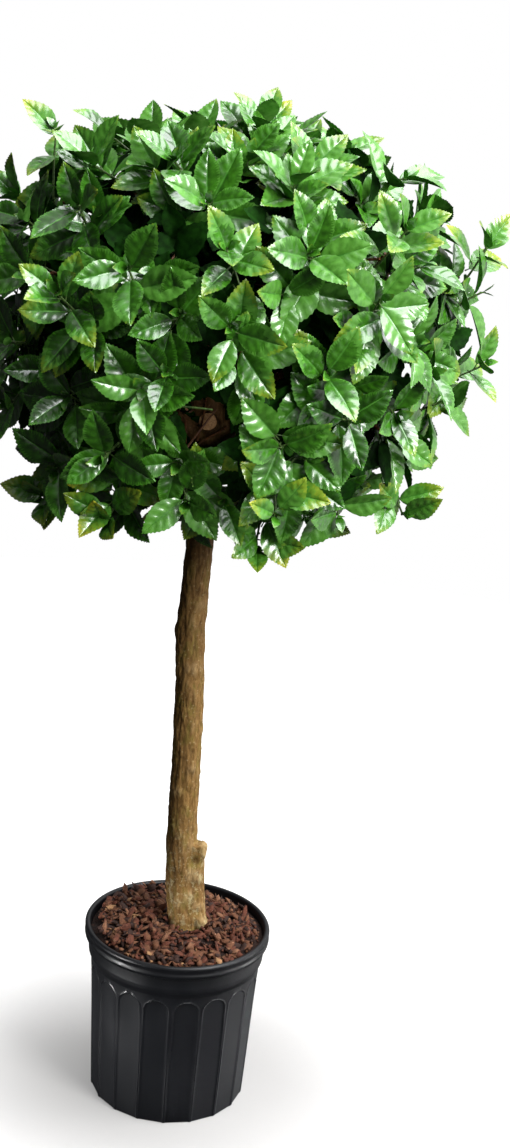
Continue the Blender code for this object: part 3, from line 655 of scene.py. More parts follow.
def moulded_black_hdpe():
    """Blow-moulded black HDPE: satin, faintly orange-peeled by the mould, with a thin film of dust."""
    made, tree = blank_material("moulded_black_hdpe")
    place = add(tree, "ShaderNodeTexCoord", out="Object")
    upright = add(tree, "ShaderNodeMapping", {"Vector": place, "Scale": (1.0, 1.0, 0.4)})
    peel = add(tree, "ShaderNodeTexNoise", {"Vector": place, "Scale": per_metre(2.2), "Detail": 3.0})
    film = add(tree, "ShaderNodeTexNoise", {"Vector": upright, "Scale": per_metre(38.0), "Detail": 5.0})
    speck = add(tree, "ShaderNodeTexNoise", {"Vector": place, "Scale": per_metre(1.1), "Detail": 2.0})
    filmed = {"Value": film, "From Min": 0.46, "From Max": 0.72, "To Max": 0.4}
    dusty = add(tree, "ShaderNodeMapRange", filmed)
    black, dust, sand = linear("#0c0d10"), linear("#151619"), linear("#4a4540")
    resin = add(tree, "ShaderNodeMix", {0: dusty, 6: black, 7: dust}, out=2, data_type="RGBA")
    specks = {"Value": speck, "From Min": 0.70, "From Max": 0.78, "To Max": 0.16}
    grit = add(tree, "ShaderNodeMapRange", specks)
    colour = add(tree, "ShaderNodeMix", {0: grit, 6: resin, 7: sand}, out=2, data_type="RGBA")
    worn = {"Value": film, "From Min": 0.3, "From Max": 0.75, "To Min": 0.34, "To Max": 0.46}
    roughness = add(tree, "ShaderNodeMapRange", worn)
    relief = add(tree, "ShaderNodeBump", {"Height": peel, "Distance": 0.10 * MILLIMETRE, "Strength": 0.5})
    surface = add(
        tree,
        "ShaderNodeBsdfPrincipled",
        {
            "Base Color": colour,
            "Roughness": roughness,
            "IOR": 1.54,
            "Specular IOR Level": POT_SPECULAR,
            "Normal": relief,
        },
    )
    add(tree, "ShaderNodeOutputMaterial", {"Surface": surface})
    return made


def damp_bark_fines():
    """Composted bark fines under the chips: near black, crumbly, no shine."""
    made, tree = blank_material("damp_bark_fines")
    place = add(tree, "ShaderNodeTexCoord", out="Object")
    crumb = add(tree, "ShaderNodeTexVoronoi", {"Vector": place, "Scale": per_metre(3.0)})
    tone = add(tree, "ShaderNodeTexNoise", {"Vector": place, "Scale": per_metre(6.0), "Detail": 5.0})
    share = add(tree, "ShaderNodeMapRange", {"Value": tone, "From Min": 0.35, "From Max": 0.70})
    black, brown = linear("#150a06"), linear("#341b10")
    colour = add(tree, "ShaderNodeMix", {0: share, 6: black, 7: brown}, out=2, data_type="RGBA")
    relief = add(tree, "ShaderNodeBump", {"Height": crumb, "Distance": 1.2 * MILLIMETRE})
    matt = {"Base Color": colour, "Roughness": 0.95, "IOR": 1.45, "Normal": relief}
    surface = add(tree, "ShaderNodeBsdfPrincipled", matt)
    add(tree, "ShaderNodeOutputMaterial", {"Surface": surface})
    return made


def shredded_bark(tone):
    """Shredded pine bark, dry and dull. Its grain lines, 0.6 mm apart, are drawn 1 mm apart to show."""
    weathered, grain = (linear(code) for code in CHIP_TONES[tone])
    made, tree = blank_material(f"shredded_bark_{tone}")
    place = add(tree, "ShaderNodeTexCoord", out="Object")
    along = add(tree, "ShaderNodeMapping", {"Vector": place, "Scale": (0.29, 1.0, 1.0)})
    lines = {"Vector": along, "Scale": per_metre(1.0), "Detail": 4.0, "Roughness": 0.7}
    line = add(tree, "ShaderNodeTexNoise", lines)
    patch = add(tree, "ShaderNodeTexNoise", {"Vector": place, "Scale": per_metre(7.0), "Detail": 3.0})
    share = add(tree, "ShaderNodeMapRange", {"Value": line, "From Min": 0.36, "From Max": 0.66})
    fibre = add(tree, "ShaderNodeMix", {0: share, 6: weathered, 7: grain}, out=2, data_type="RGBA")
    stained = {"Value": patch, "From Min": 0.52, "From Max": 0.72, "To Max": 0.5}
    stain = add(tree, "ShaderNodeMapRange", stained)
    damp = linear("#241009")
    colour = add(tree, "ShaderNodeMix", {0: stain, 6: fibre, 7: damp}, out=2, data_type="RGBA")
    relief = add(tree, "ShaderNodeBump", {"Height": line, "Distance": 0.7 * MILLIMETRE})
    matt = {"Base Color": colour, "Roughness": 0.84, "IOR": 1.48, "Normal": relief}
    surface = add(tree, "ShaderNodeBsdfPrincipled", matt)
    add(tree, "ShaderNodeOutputMaterial", {"Surface": surface})
    return made


def dried_trunk_bark():
    """A real hardwood stem, dried in its bark: ochre ridges, dark fissures, pale pores, crusted foot;
    painted light on its lumps, painted shade in its hollows and under the crown.
    """
    made, tree = blank_material("dried_trunk_bark")
    place = add(tree, "ShaderNodeTexCoord", out="Object")
    along = add(tree, "ShaderNodeMapping", {"Vector": place, "Scale": (1.0, 1.0, 1.0 / FISSURE_STRETCH)})
    drawn = add(tree, "ShaderNodeMapping", {"Vector": place, "Scale": (1.0, 1.0, 0.42)})
    patterns = {}
    for name, vector, size, detail, rough in (  # size in millimetres
        ("streak", along, 3.2, 6.0, 0.68),
        ("cloud", drawn, 24.0, 4.0, 0.5),
        ("algae", drawn, 13.0, 5.0, 0.7),
        ("fine", drawn, 0.9, 4.0, 0.7),
        ("lichen", place, 11.0, 6.0, 0.72),
    ):
        inputs = {"Vector": vector, "Scale": per_metre(size), "Detail": detail, "Roughness": rough}
        patterns[name] = add(tree, "ShaderNodeTexNoise", inputs)
    pore = add(tree, "ShaderNodeTexVoronoi", {"Vector": place, "Scale": per_metre(6.5)}, out="Distance")
    crack = add(tree, "ShaderNodeAttribute", out="Fac", attribute_name="fissure")
    # the bark's height, which paints light on its lumps and shade in its hollows
    rise = add(tree, "ShaderNodeAttribute", out="Fac", attribute_name="rise")
    height = add(tree, "ShaderNodeSeparateXYZ", {"Vector": place}, out="Z")
    low = add(tree, "ShaderNodeMapRange", {"Value": height, "From Min": 0.44, "From Max": 0.34})
    spots = {"Value": patterns["lichen"], "From Min": 0.53, "From Max": 0.59}
    crust = add(tree, "ShaderNodeMapRange", spots)
    foot_crust = add(tree, "ShaderNodeMath", {0: low, 1: crust}, operation="MULTIPLY")
    colour = linear("#6c4d24")
    for mask, start, full, strength, tone in (  # each tone is laid over the ones before it
        (patterns["streak"], 0.36, 0.62, 1.0, "#987542"),  # pale ridges
        (patterns["cloud"], 0.44, 0.64, 0.38, "#7b5a35"),
        (patterns["algae"], 0.50, 0.66, 0.55, "#7d7430"),
        (pore, 0.26, 0.12, 0.50, "#bba373"),
        (rise, 0.55, 1.0, 0.48, "#c4a878"),  # painted highlight on the raised lumps
        (rise, 0.40, 0.06, 0.42, "#4a3518"),  # painted shade in the hollows
        (foot_crust, 0.0, 1.0, 0.66, "#b9ab80"),
        (height, 0.62, 0.90, 0.64, "#4a3019"),  # painted shade, darker towards the crown
        (crack, 0.15, 0.90, 0.50, "#2c1d0d"),
    ):
        span = {"Value": mask, "From Min": start, "From Max": full, "To Max": strength}
        share = add(tree, "ShaderNodeMapRange", span)
        layer = {0: share, 6: colour, 7: linear(tone)}
        colour = add(tree, "ShaderNodeMix", layer, out=2, data_type="RGBA")
    dull = {"Value": patterns["streak"], "From Min": 0.3, "From Max": 0.7, "To Min": 0.82, "To Max": 0.60}
    roughness = add(tree, "ShaderNodeMapRange", dull)
    crumbled = {"Height": patterns["fine"], "Distance": 0.6 * MILLIMETRE, "Strength": 0.8}
    relief = add(tree, "ShaderNodeBump", crumbled)
    surface = add(
        tree,
        "ShaderNodeBsdfPrincipled",
        {
            "Base Color": colour,
            "Roughness": roughness,
            "IOR": 1.48,
            "Specular IOR Level": BARK_SPECULAR,
            "Normal": relief,
        },
    )
    add(tree, "ShaderNodeOutputMaterial", {"Surface": surface})
    return made


def sawn_end_grain():
    """The pruned stub's sawn face: dry pale wood, cloudy and fuzzy from the saw, with no clear rings."""
    made, tree = blank_material("sawn_end_grain")
    place = add(tree, "ShaderNodeTexCoord", out="Object")
    fuzz = add(tree, "ShaderNodeTexNoise", {"Vector": place, "Scale": per_metre(2.4), "Detail": 4.0})
    share = add(tree, "ShaderNodeMapRange", {"Value": fuzz, "From Min": 0.35, "From Max": 0.65})
    late_wood, early_wood = linear("#b08055"), linear("#d3a674")
    colour = add(tree, "ShaderNodeMix", {0: share, 6: late_wood, 7: early_wood}, out=2, data_type="RGBA")
    relief = add(tree, "ShaderNodeBump", {"Height": fuzz, "Distance": 0.5 * MILLIMETRE})
    matt = {"Base Color": colour, "Roughness": 0.82, "IOR": 1.5, "Normal": relief}
    surface = add(tree, "ShaderNodeBsdfPrincipled", matt)
    add(tree, "ShaderNodeOutputMaterial", {"Surface": surface})
    return made


def moulded_stem(tone):
    """Injection-moulded PE over wire: a dull satin skin with a bark-like streak down it."""
    dark, light = (linear(code) for code in STEM_TONES[tone])
    made, tree = blank_material(f"moulded_stem_{tone}")
    place = add(tree, "ShaderNodeTexCoord", out="Object")
    along = add(tree, "ShaderNodeMapping", {"Vector": place, "Scale": (1.0, 1.0, 0.33)})
    streak = add(tree, "ShaderNodeTexNoise", {"Vector": along, "Scale": per_metre(2.5), "Detail": 4.0})
    share = add(tree, "ShaderNodeMapRange", {"Value": streak, "From Min": 0.36, "From Max": 0.66})
    colour = add(tree, "ShaderNodeMix", {0: share, 6: dark, 7: light}, out=2, data_type="RGBA")
    relief = add(tree, "ShaderNodeBump", {"Height": streak, "Distance": 0.4 * MILLIMETRE})
    matt = {"Base Color": colour, "Roughness": 0.58, "IOR": 1.5, "Normal": relief}
    surface = add(tree, "ShaderNodeBsdfPrincipled", matt)
    add(tree, "ShaderNodeOutputMaterial", {"Surface": surface})
    return made


def pressed_leaf_cloth(tone):
    """Polyester cloth, printed, pressed with veins and coated with PE: a wet gloss on every swelling.

    Its threads, about 0.3 mm apart, are drawn 1.2 mm apart to show.
    """
    dark, light = (linear(code) for code in LEAF_TONES[tone])
    made, tree = blank_material(f"pressed_leaf_cloth_{tone}")
    place = add(tree, "ShaderNodeTexCoord", out="Object")
    cloud = add(tree, "ShaderNodeTexNoise", {"Vector": place, "Scale": per_metre(9.0), "Detail": 4.0})
    thread = add(tree, "ShaderNodeTexNoise", {"Vector": place, "Scale": per_metre(1.2), "Detail": 2.0})
    share = add(tree, "ShaderNodeMapRange", {"Value": cloud, "From Min": 0.34, "From Max": 0.68})
    colour = add(tree, "ShaderNodeMix", {0: share, 6: dark, 7: light}, out=2, data_type="RGBA")
    weave = {"Height": thread, "Distance": 0.12 * MILLIMETRE, "Strength": 0.4}
    relief = add(tree, "ShaderNodeBump", weave)
    surface = add(
        tree,
        "ShaderNodeBsdfPrincipled",
        {
            "Base Color": colour,
            "Roughness": LEAF_ROUGHNESS.get(tone, LEAF_PLAIN_ROUGHNESS),
            "IOR": 1.5,
            "Specular IOR Level": LEAF_SPECULAR if tone in LEAF_GLOSSY else LEAF_MATT_SPECULAR,
            "Coat Weight": LEAF_COATS.get(tone, LEAF_COAT),
            "Coat Roughness": LEAF_COAT_ROUGHNESS,
            "Coat IOR": LEAF_COAT_IOR,
            "Normal": relief,
        },
    )
    add(tree, "ShaderNodeOutputMaterial", {"Surface": surface})
    return made


def studio_paper():
    """Matt grey paper with a painted glow that grows away from the pot up to the white room, and a
    painted shadow round the pot's foot.
    """
    made, tree = blank_material("studio_paper")
    place = add(tree, "ShaderNodeTexCoord", out="Object")
    out = add(tree, "ShaderNodeVectorMath", {0: place}, out="Value", operation="LENGTH")
    tone = add(tree, "ShaderNodeTexNoise", {"Vector": place, "Scale": per_metre(600.0), "Detail": 1.0})
    share = add(tree, "ShaderNodeMapRange", {"Value": tone, "From Min": 0.4, "From Max": 0.6})
    # grey like white paper in shade: with the weak glow near the pot it paints the shadow there
    grey, pale_grey = linear("#979593"), linear("#9d9b99")
    colour = add(tree, "ShaderNodeMix", {0: share, 6: grey, 7: pale_grey}, out=2, data_type="RGBA")
    # painted glow: the paper glows more and more away from the pot
    glow = add(
        tree,
        "ShaderNodeMapRange",
        {"Value": out, "From Min": PAINTED_GLOW_REACH[0], "From Max": PAINTED_GLOW_REACH[1], "To Min": PAINTED_FOOT_GLOW},
        interpolation_type="SMOOTHSTEP",
    )
    surface = add(
        tree,
        "ShaderNodeBsdfPrincipled",
        {
            "Base Color": colour,
            "Roughness": 0.92,
            "IOR": 1.45,
            "Specular IOR Level": 0.2,
            "Emission Color": linear("#ffffff"),
            "Emission Strength": glow,
        },
    )
    add(tree, "ShaderNodeOutputMaterial", {"Surface": surface})
    return made


def rounded(profile, reach, steps):
    """A profile of (radius, height) points, each corner between its ends turned into a short curve."""
    points = [np.array(profile[0])]
    for before, corner, after in zip(profile, profile[1:], profile[2:]):
        corner = np.array(corner)
        to_before, to_after = before - corner, after - corner
        cut = min(reach, CORNER_SHARE * np.hypot(*to_before), CORNER_SHARE * np.hypot(*to_after))
        start = corner + to_before / np.hypot(*to_before) * cut
        end = corner + to_after / np.hypot(*to_after) * cut
        for step in range(steps + 1):
            t = step / steps
            points.append((1 - t) ** 2 * start + 2 * t * (1 - t) * corner + t**2 * end)
    points.append(np.array(profile[-1]))
    return points


def wall_radius(height):
    """Radius of the pot's plain outer wall at a height under the band's slope."""
    share = (height - FOOT_ROUND) / (SLOPE_FOOT - FOOT_ROUND)
    return FOOT_RADIUS + share * (BODY_TOP_RADIUS - FOOT_RADIUS)


def pot_rows():
    """The pot's section as (radius, height, fluted), from inside its floor over the lip to its foot."""
    inside = rounded(
        (
            (FLOOR_HUB, POT_WALL),
            (FOOT_RADIUS - POT_WALL - FLOOR_TUCK, POT_WALL),
            (BODY_TOP_RADIUS - POT_WALL, SLOPE_FOOT),
            (BAND_RADIUS - POT_WALL, BAND_FOOT),
            (LIP_RADIUS - LIP_WIDTH, POT_HEIGHT - LIP_INNER_DROP),
        ),
        CORNER_REACH,
        1,
    )
    rolled_lip = [
        (
            LIP_RADIUS - LIP_WIDTH / 2 - math.cos(turn) * LIP_WIDTH / 2,
            POT_HEIGHT - ROLL_HALF + math.sin(turn) * ROLL_HALF,
        )
        for turn in np.linspace(0.0, math.pi, ROLL_ROWS)
    ]
    skirt_and_band = rounded(
        (
            (LIP_RADIUS, POT_HEIGHT - ROLL_END),
            (LIP_RADIUS - LIP_GROOVE, POT_HEIGHT - GROOVE_TOP),
            (LIP_RADIUS - LIP_GROOVE, LIP_FOOT + GROOVE_FOOT),
            (LIP_RADIUS + SKIRT_SWELL, LIP_FOOT + SKIRT_TOP),
            (LIP_RADIUS - SKIRT_TUCK, LIP_FOOT),
            (BAND_RADIUS - BAND_TUCK, LIP_FOOT - BAND_START),
            (BAND_RADIUS, BAND_FOOT + BAND_EDGE),
            (BAND_RADIUS - BAND_FOOT_TUCK, BAND_FOOT),
            (BODY_TOP_RADIUS + SLOPE_STEP, SLOPE_FOOT),
            (wall_radius(FLUTE_HEAD + WALL_START), FLUTE_HEAD + WALL_START),
        ),
        CORNER_REACH,
        CORNER_STEPS,
    )
    spring = FLUTE_HEAD - FLUTE_WIDTH / 2
    head_heights = np.linspace(FLUTE_HEAD + FLUTE_ROWS_START, spring, HEAD_ROWS)
    straight_heights = np.linspace(spring, FOOT_ROUND, STRAIGHT_ROWS)[1:]
    wall = [(wall_radius(height), height) for height in (*head_heights, *straight_heights)]
    foot = [
        (FOOT_RADIUS - FOOT_ROUND * (1.0 - math.cos(turn)), FOOT_ROUND * (1.0 - math.sin(turn)))
        for turn in np.linspace(0.0, math.pi / 2, FOOT_ROWS)[1:]
    ]
    plain = [*inside, *rolled_lip, *skirt_and_band]
    return [(*row, False) for row in plain] + [(*row, True) for row in (*wall, *foot)]


def fluted_radius(radius, height, turns):
    """The outer wall's radii round a ring: flat arched panels sunk in it, with a fine bead round each."""
    pitch = math.tau / FLUTE_COUNT
    off = (turns + pitch / 2) % pitch - pitch / 2
    across = np.abs(radius * np.sin(off))
    half = FLUTE_WIDTH / 2
    above = max(0.0, height - (FLUTE_HEAD - half))
    inside = half - np.hypot(across, above)
    panel = (radius - FLUTE_DEPTH) / np.cos(off)
    sunk = soft_step(0.5 + inside / (2 * FLUTE_SOFT))
    bead = FLUTE_BEAD * np.exp(-((inside / FLUTE_BEAD_WIDTH + FLUTE_BEAD_OFFSET) ** 2))
    return radius + sunk * (np.minimum(panel, radius) - radius) + bead


def build_pot():
    """One closed skin: the section's rings, with the middle of the floor and of the underside."""
    columns = FLUTE_COUNT * FLUTE_COLUMNS
    turns = np.arange(columns) * math.tau / columns
    rings = []
    for radius, height, fluted in pot_rows():
        radii = fluted_radius(radius, height, turns) if fluted else np.full(columns, radius)
        heights = np.full(columns, height)
        rings.append(np.stack([radii * np.cos(turns), radii * np.sin(turns), heights], axis=1))
    points = np.concatenate([*rings, [[0.0, 0.0, POT_WALL], [0.0, 0.0, 0.0]]])
    stock = Stock()
    stock.put(points, skin_faces(len(rings), columns)[:, ::-1])
    pot = stock.make("nursery_pot", [moulded_black_hdpe()], crease=POT_CREASE)
    settle(pot, "pot", "pot")


def fill_height(x, y):
    """Height of the fill's mound at a place."""
    out = math.hypot(x, y)
    shoulder = (FILL_EDGE + FILL_CROWN) / 2 + FILL_SHOULDER_RISE
    if out <= FILL_FLAT_RADIUS:
        return FILL_CROWN
    if out <= FILL_SHOULDER_RADIUS:
        run = FILL_SHOULDER_RADIUS - FILL_FLAT_RADIUS
        return FILL_CROWN + (shoulder - FILL_CROWN) * (out - FILL_FLAT_RADIUS) / run
    run = FILL_RADIUS - FILL_SHOULDER_RADIUS
    return shoulder + (FILL_EDGE - shoulder) * (out - FILL_SHOULDER_RADIUS) / run


def bark_chip(rng, length):
    """A torn flake lying flat: a ragged outline, thickest in the middle, as (points, triangles)."""
    width = length * rng.uniform(*CHIP_WIDTH_SHARE)
    thick = rng.uniform(*CHIP_THICKNESS)
    curl = 0.0
    if rng.random() < SHRED_SHARE:
        length *= SHRED_STRETCH
        width = length * rng.uniform(*SHRED_WIDTH_SHARE)
        thick *= SHRED_THICKNESS_SHARE
        curl = rng.uniform(-SHRED_CURL, SHRED_CURL) * 4.0 / length
    corners = CHIP_CORNERS
    points = []
    for lift, share in CHIP_LEVELS:
        for number in range(corners):
            turn = math.tau * (number + rng.uniform(-CHIP_CORNER_SPREAD, CHIP_CORNER_SPREAD)) / corners
            ragged = share * rng.uniform(*CHIP_RAGGED)
            x = math.cos(turn) * ragged * length / 2
            rise = thick * (lift + rng.uniform(-CHIP_UNEVEN, CHIP_UNEVEN)) + curl * x * x
            points.append((x, math.sin(turn) * ragged * width / 2, rise))
    points.append((0.0, 0.0, -thick / 2))
    ridge_shift = length * rng.uniform(-CHIP_RIDGE_SHIFT, CHIP_RIDGE_SHIFT)
    points.append((ridge_shift, 0.0, thick * rng.uniform(*CHIP_RIDGE)))
    return np.array(points), skin_faces(len(CHIP_LEVELS), corners)


def build_mulch(fill):
    """Chips in layers on the fill, flat underneath and more tumbled on top, with more short than long."""
    fines = damp_bark_fines()
    for slot in fill.material_slots:
        slot.material = fines
    tones = list(CHIP_TONES)
    rng = random.Random(CHIP_SEED)
    stock = Stock()
    for count, lift, tilt, gap_share in CHIP_LAYERS:
        for _ in range(count):
            length = CHIP_LENGTH[0] + (CHIP_LENGTH[1] - CHIP_LENGTH[0]) * rng.random() ** 2
            reach = MULCH_RADIUS - length * CHIP_WALL_SHARE
            out = reach * math.sqrt(rng.random())
            bearing = rng.uniform(0.0, math.tau)
            x, y = out * math.cos(bearing), out * math.sin(bearing)
            stem_gap = min(math.hypot(x - at_x, y - at_y) - thick for at_x, at_y, thick in STEM_FEET)
            if stem_gap < length * gap_share:
                continue
            bank = CHIP_BANK * max(0.0, math.cos(bearing - math.radians(CHIP_BANK_BEARING))) * out / reach
            lean = math.radians(rng.gauss(0.0, tilt))
            points, faces = bark_chip(rng, length)
            propped = abs(math.sin(lean)) * length * CHIP_PROP_SHARE
            height = fill_height(x, y) + lift + bank + propped + CHIP_BED
            turn = Matrix.Rotation(rng.uniform(0.0, math.tau), 4, "Z")
            roll = Matrix.Rotation(math.radians(rng.gauss(0.0, tilt)), 4, "X")
            place = Matrix.Translation((x, y, min(height, CHIP_TOP)))
            pose = place @ turn @ Matrix.Rotation(lean, 4, "Y") @ roll
            tone = rng.choices(range(len(tones)), CHIP_SHARES)[0]
            stock.put(moved(points, pose), faces, tone)
    chips = stock.make("bark_chips", [shredded_bark(tone) for tone in tones])
    settle(chips, "mulch")


def trunk_point(height):
    """Point on the trunk's centre line at a height."""
    for (x0, y0, z0, _), (x1, y1, z1, _) in zip(TRUNK_LINE, TRUNK_LINE[1:]):
        if z0 <= height <= z1:
            share = (height - z0) / (z1 - z0)
            return Vector((x0, y0, z0)).lerp(Vector((x1, y1, z1)), share)
    return Vector(TRUNK_LINE[-1][:3])


def collar_end(bearing, rise, height):
    """Where a bough leaves the trunk's collar, and the way it points."""
    way = bearing_vector(bearing, rise)
    return trunk_point(height) + way * (TRUNK_LINE[-1][3] + COLLAR_LENGTH - COLLAR_SUNK), way


def mass_centres():
    """Name and centre of each mass of foliage."""
    centres = []
    for number, (name, bearing, _, _) in enumerate(RING_BOUGHS):
        centre = CROWN_CENTRE + bearing_vector(bearing) * RING_MASS_RADIUS
        centre.z = RING_MASS_HEIGHTS[number % 2]
        centres.append((name, centre))
    centres.append(("top", TOP_MASS_CENTRE.copy()))
    return centres


def bough_lines():
    """Each bough's points by name, from its collar to the mass that it carries."""
    centres = dict(mass_centres())
    lines = {}
    for name, bearing, rise, height in RING_BOUGHS:
        start, way = collar_end(bearing, rise, height)
        end = start.lerp(centres[name], BOUGH_SHARE)
        bend = start + way * (end - start).length * BOUGH_BEND_SHARE
        lines[name] = [start, start.lerp(bend, 0.5), bend.lerp(end, BOUGH_BEND_EASE), end]
    start = Vector(TRUNK_LINE[-1][:3])
    way = (start - Vector(TRUNK_LINE[-2][:3])).normalized()
    middle = start + Vector((*LEADER_SWAY[0], LEADER_LENGTH / 2))
    end = start + Vector((*LEADER_SWAY[1], LEADER_LENGTH))
    lines["top"] = [start, start + way * LEADER_START, middle, end]
    return lines


def drawn_line(line, step):
    """A smooth curve through a line of (x, y, z, radius) points, with a point every step metres."""
    knots = np.array([line[0], *line, line[-1]], float)
    drawn = []
    for before, start, end, after in zip(knots, knots[1:], knots[2:], knots[3:]):
        pieces = max(1, int(np.linalg.norm(end[:3] - start[:3]) / step))
        for piece in range(pieces):
            t = piece / pieces
            point = 2 * start + (end - before) * t
            point = point + (2 * before - 5 * start + 4 * end - after) * t**2
            point = point + (3 * start - before - 3 * end + after) * t**3
            drawn.append(point / 2)
    drawn.append(knots[-1])
    return np.array(drawn)


def tube(line, sides):
    """A round tube along (x, y, z, radius) points, closed at both ends, as (points, triangles)."""
    line = np.asarray(line, float)
    ways = np.gradient(line[:, :3], axis=0)
    ways /= np.linalg.norm(ways, axis=1, keepdims=True)
    side = np.cross(ways[0], (0.0, 0.0, 1.0) if abs(ways[0][2]) < 0.9 else (1.0, 0.0, 0.0))
    turns = np.arange(sides) * math.tau / sides
    rings = []
    for (x, y, z, radius), way in zip(line, ways):
        side = side - way * side.dot(way)
        side /= np.linalg.norm(side)
        beside = np.cross(way, side)
        ring = np.outer(np.cos(turns), side) + np.outer(np.sin(turns), beside)
        rings.append(np.array((x, y, z)) + ring * radius)
    points = np.concatenate([*rings, line[:1, :3], line[-1:, :3]])
    return points, skin_faces(len(rings), sides)


def straight_line(start, end, radii, steps):
    """A straight limb's points, tapering evenly between two radii."""
    shares = [step / steps for step in range(steps + 1)]
    return [(*start.lerp(end, share), radii[0] + share * (radii[1] - radii[0])) for share in shares]


def stub_ends():
    stub = PRUNED_STUB
    start = trunk_point(stub["height"])
    way = bearing_vector(stub["bearing"], stub["rise"])
    return start, start + way * stub["length"], way


def limb_stock():
    """The trunk, its side stem, toes, collars and stub, and the boughs, as overlapping tubes."""
    stock = Stock()
    base = Vector(TRUNK_LINE[0][:3])
    step, sides = TRUNK_MESH
    stock.put(*tube(drawn_line(TRUNK_LINE, step), sides))
    step, sides = FOOT_MESH
    low = [drawn_line(SIDE_STEM_LINE, step)]
    for bearing, reach, radius in ROOT_TOES:
        way = bearing_vector(bearing)
        start = base + way * TOE_START + UP * TOE_HEIGHT
        end = base + way * reach - UP * TOE_SINK
        low.append(straight_line(start, end, (radius * TOE_TAPER, radius), TOE_STEPS))
    for line in low:
        points, faces = tube(line, sides)
        points[:, 2] = np.maximum(points[:, 2], base.z)
        stock.put(points, faces)
    step, sides = BOUGH_MESH
    collar_heights = {name: height for name, _, _, height in RING_BOUGHS}
    for name, points in bough_lines().items():
        first = COLLAR_RADIUS if name in collar_heights else TRUNK_LINE[-1][3]
        last = len(points) - 1
        line = []
        for number, point in enumerate(points):
            line.append((*point, first + (BOUGH_TIP_RADIUS - first) * number / last))
        if name in collar_heights:
            root = trunk_point(collar_heights[name]).lerp(points[0], COLLAR_FLARE_SHARE)
            line.insert(0, (*root, COLLAR_RADIUS * COLLAR_FLARE))
        stock.put(*tube(drawn_line(line, step), sides))
    start, end, _ = stub_ends()
    radius = PRUNED_STUB["radius"]
    stock.put(*tube(straight_line(start, end, (radius + STUB_FLARE, radius), STUB_STEPS), STUB_SIDES))
    return stock


def bark_height(point, axis):
    """How far the bark stands out at a point, and how deep in a fissure it lies, from 0 to 1."""
    beside = Vector((point.x - axis.x, point.y - axis.y, point.z / FISSURE_STRETCH))
    crack_line = noise.noise(beside / FISSURE_WIDTH)
    branch_line = noise.noise(beside / (FISSURE_WIDTH * BRANCH_WIDTH) + BRANCH_SHIFT)
    crack = max(0.0, 1.0 - abs(crack_line) / FISSURE_LINE[0]) * FISSURE_LINE[1]
    branch = max(0.0, 1.0 - abs(branch_line) / BRANCH_LINE[0]) * BRANCH_LINE[1]
    strong = 0.5 + 0.5 * noise.noise(point / WEAK_SIZE)
    crack = max(crack, branch) * (WEAK_DEPTH + (1.0 - WEAK_DEPTH) * strong)
    height = 0.0
    for rise, size, stretch in (
        (LUMP_HEIGHT, LUMP_SIZE, LUMP_STRETCH),
        (PLATE_HEIGHT, PLATE_SIZE, PLATE_STRETCH),
        (GRAIN_HEIGHT, GRAIN_SIZE, GRAIN_STRETCH),
    ):
        height += rise * noise.noise(Vector((point.x, point.y, point.z * stretch)) / size)
    height -= FISSURE_DEPTH * crack
    for knot_height, bearing, out, radius, rise in KNOTS:
        away = abs(point.z - knot_height)
        if away < radius * KNOT_REACH:
            heart = trunk_point(knot_height) + bearing_vector(bearing) * out
            near = (point - heart).length / radius
            height += rise * math.exp(-near * near)
    return height, crack


def build_bark():
    """One skin of bark over the trunk and boughs: fused, smoothed, then cut with fissures and lumps."""
    rough = limb_stock().make("bark_rough", [])
    fuse = rough.modifiers.new("fuse", "REMESH")
    fuse.mode = "VOXEL"
    fuse.voxel_size = BARK_VOXEL
    even = rough.modifiers.new("even", "SMOOTH")
    even.factor = 0.5
    even.iterations = BARK_SMOOTHING
    bpy.context.view_layer.update()
    mesh = bpy.data.meshes.new_from_object(rough.evaluated_get(bpy.context.evaluated_depsgraph_get()))
    bpy.data.objects.remove(rough)
    mesh.name = "trunk_bark"
    _, stub_end, stub_way = stub_ends()
    foot = TRUNK_LINE[0][2] + PLAIN_FOOT
    normals = [vertex.normal.copy() for vertex in mesh.vertices]
    cracks, relief_light_and_shade = [], []
    for vertex, normal in zip(mesh.vertices, normals):
        point = vertex.co
        height, crack = bark_height(point, trunk_point(min(point.z, TRUNK_LINE[-1][2])))
        to_end = stub_end - point
        on_cut = to_end.dot(stub_way) < CUT_DEPTH and to_end.length < CUT_REACH
        if on_cut or point.z < foot:
            height, crack = 0.0, 0.0
        vertex.co = point + normal * height
        cracks.append(crack)
        # the relief's height, kept for the painted light on lumps and painted shade in hollows
        relief_light_and_shade.append(min(1.0, max(0.0, 0.5 + height / RELIEF_LIGHT_SPAN)))
    for name, values in (("fissure", cracks), ("rise", relief_light_and_shade)):
        attribute = mesh.attributes.new(name, "FLOAT", "POINT")
        attribute.data.foreach_set("value", values)
    mesh.materials.append(dried_trunk_bark())
    mesh.materials.append(sawn_end_grain())
    for face in mesh.polygons:
        near_end = (face.center - stub_end).length < CUT_FACE_REACH
        face.material_index = 1 if near_end and face.normal.dot(stub_way) > CUT_FACE_TURN else 0
    mesh.shade_smooth()
    bark = add_object("trunk_bark", mesh)
    settle(bark, "bark", "trunk", *(f"bough_{name}" for name in bough_lines()))


def crown_reach(way):
    """Distance from the crown's centre to its outline along a unit vector."""
    level = math.hypot(way.x / CROWN_HALF.x, way.y / CROWN_HALF.y)
    total = level**CROWN_SQUARENESS + abs(way.z / CROWN_HALF.z) ** CROWN_SQUARENESS
    reach = total ** (-1.0 / CROWN_SQUARENESS)
    for bearing, rise, height in CROWN_BUMPS:
        apart = way.angle(bearing_vector(bearing, rise)) / BUMP_WIDTH
        reach += height * math.exp(-apart * apart)
    return reach


